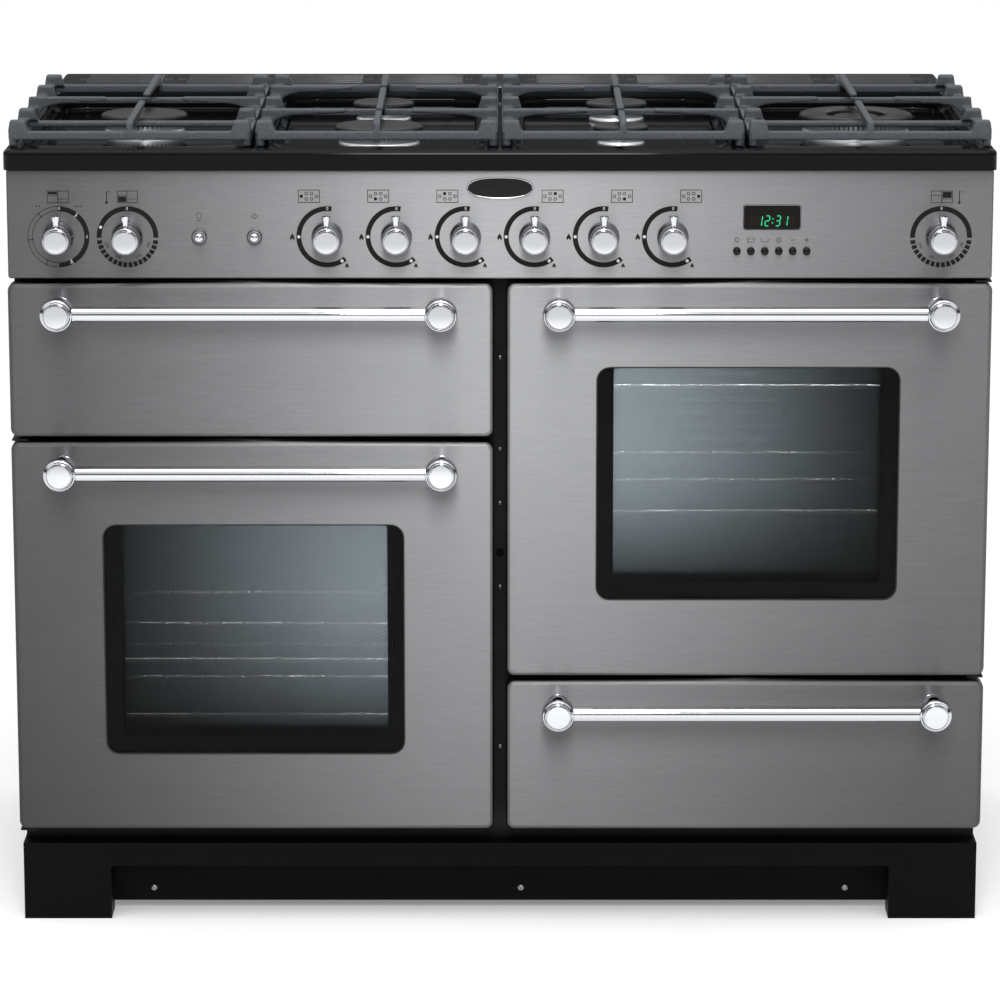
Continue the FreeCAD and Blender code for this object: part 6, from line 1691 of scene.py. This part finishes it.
# ---------------------------------------------------------------- cabinet
@dataclass
class Cabinet:
    """Plinth, casing, front frame and what is fixed to them."""

    kick_screws: tuple[float, ...] = (-400.0, 24.0, 399.0)
    kick_screw_z: float = 25.0
    strip_screws: tuple[float, ...] = (197.7, 386.0, 483.0, 545.7, 650.6)
    catch_z: float = 426.0
    side_inset: float = 5.5
    side_screw_y: tuple[float, float] = (-212.0, 296.0)
    louvre_x: tuple[float, float] = (-250.0, 170.0)
    louvre_rows: tuple[tuple[float, int], ...] = ((600.0, 9), (170.0, 6))

    def build(self) -> None:
        """Dresses the carcass and adds its fixings."""
        smooth_copy("plinth", PLINTH_PAINT, "black_paint")
        smooth_copy("levelling_feet", BLACK_SCREW, "black_paint")
        dress("base_pan", ZINC)
        dress("casing_panels", SIDE_PAINT)
        dress("front_frame", FRAME_ENAMEL)
        smooth_copy("door_seals", RUBBER, "seal_rubber")
        smooth_copy("hinge_brackets", FRAME_ENAMEL, "black_paint")
        dress("drawer_runners", ZINC)
        self.front_fixings()
        self.side_fixings()
        self.back_pressings()

    def front_fixings(self) -> None:
        """Screws on the kick panel and the centre strip, and the strip's round catch."""
        form = Form()
        for x in self.kick_screws:
            self.cross_screw(form, (x, Y_KICK, self.kick_screw_z), 3.6)
        for z in self.strip_screws:
            self.cross_screw(form, (0.0, Y_FRAME, z), 2.6)
        Fitting("front_screws", SCREW).fit(form.mesh_data())
        catch = Form().turned(((0, 0), (4.4, 0), (4.4, 1.6), (3.9, 2.3), (2.2, 2.6), (0, 2.6)),
                              (0.0, Y_FRAME, self.catch_z), Axis.FRONT, 28)
        Fitting("strip_catch", PLINTH_PAINT, slot="black_paint").fit(catch.mesh_data())

    def cross_screw(self, form: Form, place: Point, radius: float) -> None:
        """A domed screw that faces forwards."""
        profile = ((0, 0), (1, 0), (1, 0.5), (0.86, 1.1), (0.55, 1.5), (0.28, 1.6), (0.15, 0.9), (0, 0.8))
        form.turned([(radius * out, height) for out, height in profile], place, Axis.FRONT, 20)

    def side_fixings(self) -> None:
        """Screws along each side panel's edges."""
        meshes = []
        for axis, side in ((Axis.RIGHT, 1), (Axis.LEFT, -1)):
            for y in self.side_screw_y:
                first = (side * (HALF - self.side_inset), y, 112.0)
                meshes.append(Grid(first, (0, 0, 146.8), 6).mesh(screw_head(3.6, 1.3, axis), SCREW))
        Fitting("side_screws", SCREW).fit(joined(meshes))

    def back_pressings(self) -> None:
        """Cooling louvres and screws on the back panel."""
        y = Y_BACK_PANEL
        louvres = [
            Grid((first, y, low), (100.0, 0, 0), 3, (0, 0, 16.0), count).mesh(self.louvre(), ZINC)
            for first in self.louvre_x for low, count in self.louvre_rows]
        Fitting("back_louvres", ZINC, slot="zinc_sheet").fit(joined(louvres))
        rows = [Grid((-528.0, y, z), (132.0, 0, 0), 9) for z in (104.0, 858.0)]
        columns = [Grid((x, y, 204.0), (0, 0, 110.0), 6) for x in (-534.0, 534.0)]
        screws = [grid.mesh(screw_head(3.6, 1.4), SCREW) for grid in rows + columns]
        Fitting("back_screws", SCREW).fit(joined(screws))

    def louvre(self) -> Form:
        """A hooded pressing, 72 mm long, that opens downwards."""
        rings = []
        for x, grow in ((-36.0, 0.12), (-34.6, 0.6), (-32.0, 0.92), (-29.0, 1.0), (29.0, 1.0), (32.0, 0.92),
                        (34.6, 0.6), (36.0, 0.12)):
            rings.append([Vector((x, -0.2, 5.0)), Vector((x, 1.8 * grow, 4.2)), Vector((x, 3.6 * grow, 1.0)),
                          Vector((x, 4.4 * grow, -3.0)), Vector((x, -0.2, -3.0))])
        return Form().shell(rings, False)


@dataclass
class Interiors:
    """Ovens, grill and what stands in them."""

    rods: int = 8
    rod_pitch: float = 47.7
    rod_y: float = -217.0
    rod_rise: float = 3.0
    shelf_z: tuple[tuple[float, tuple[float, float]], ...] = (
        (-DOOR_MIDDLE, (231.5, 296.5)), (DOOR_MIDDLE, (470.0, 615.0)))

    def build(self) -> None:
        """Dresses each piece."""
        dress("oven_liners", OVEN_ENAMEL)
        dress("grill_liner", OVEN_ENAMEL)
        smooth_copy("oven_racks", WIRE_CHROME, "rack_chrome")
        self.rod_ends()
        for node, finish, slot in (
                ("fan_cover", OVEN_ENAMEL, "oven_enamel"), ("heating_elements", ELEMENT, "element_steel"),
                ("grill_pan", DOOR_ENAMEL, "dark_enamel"), ("oven_fan", CONTROL_STEEL, "control_steel"),
                ("fan_motor", CONTROL_STEEL, "control_steel")):
            smooth_copy(node, finish, slot)

    def rod_ends(self) -> None:
        """Bright rounded ends of the shelves' rods, over each front rail."""
        bead = ((0, -2.7), (1.9, -1.9), (2.7, 0), (1.9, 1.9), (0, 2.7))
        rows = []
        for middle, levels in self.shelf_z:
            for level in levels:
                first = (middle - (self.rods - 1) * self.rod_pitch / 2, self.rod_y, level + self.rod_rise)
                rows.append(Grid(first, (self.rod_pitch, 0, 0), self.rods).mesh(
                    Form().turned(bead, (0, 0, 0), Axis.FRONT, 10), WIRE_CHROME))
        Fitting("oven_rack_rod_ends", WIRE_CHROME, slot="rack_chrome").fit(joined(rows))


@dataclass
class Services:
    """Gas rail, controls behind the panel, and the connections at the back."""

    def build(self) -> None:
        """Dresses each piece, with the gas inlet in brass."""
        smooth_copy("gas_rail", RAIL_STEEL, "rail_steel")
        dress("electrical_controls", CONTROL_STEEL)
        rear = smooth_copy("rear_connections", BOX_PLASTIC, "brass_fitting")
        rear.data.materials.append(BRASS.material())
        for face in rear.data.polygons:
            face.material_index = 1 if face.center.x > 0 else 0


# ---------------------------------------------------------------- assembly
def main() -> None:
    """Builds the stage and each sub-assembly in order, and logs each piece's face count."""
    logging.basicConfig(level=logging.INFO, format="%(name)s: %(message)s")
    Studio().build()
    panel = ControlPanel()
    left, right = -DOOR_MIDDLE, DOOR_MIDDLE
    assembly = (
        Cabinet(),
        Interiors(),
        Services(),
        OvenDoor("left_oven_door", left, 112.0),
        OvenDoor("right_oven_door", right, 292.0),
        PlainFront("grill_door", (-548.0, -7.0), (568.0, 742.0), Handle("grill_door", left, 714.0)),
        PlainFront("storage_drawer", (7.0, 548.0), (112.0, 286.0), Handle("storage_drawer", right, 258.0)),
        panel,
        Knobs(panel),
        Hob(),
    )
    for piece in assembly:
        LOG.info("building %s", type(piece).__name__)
        piece.build()


if __name__ == "__main__":
    main()
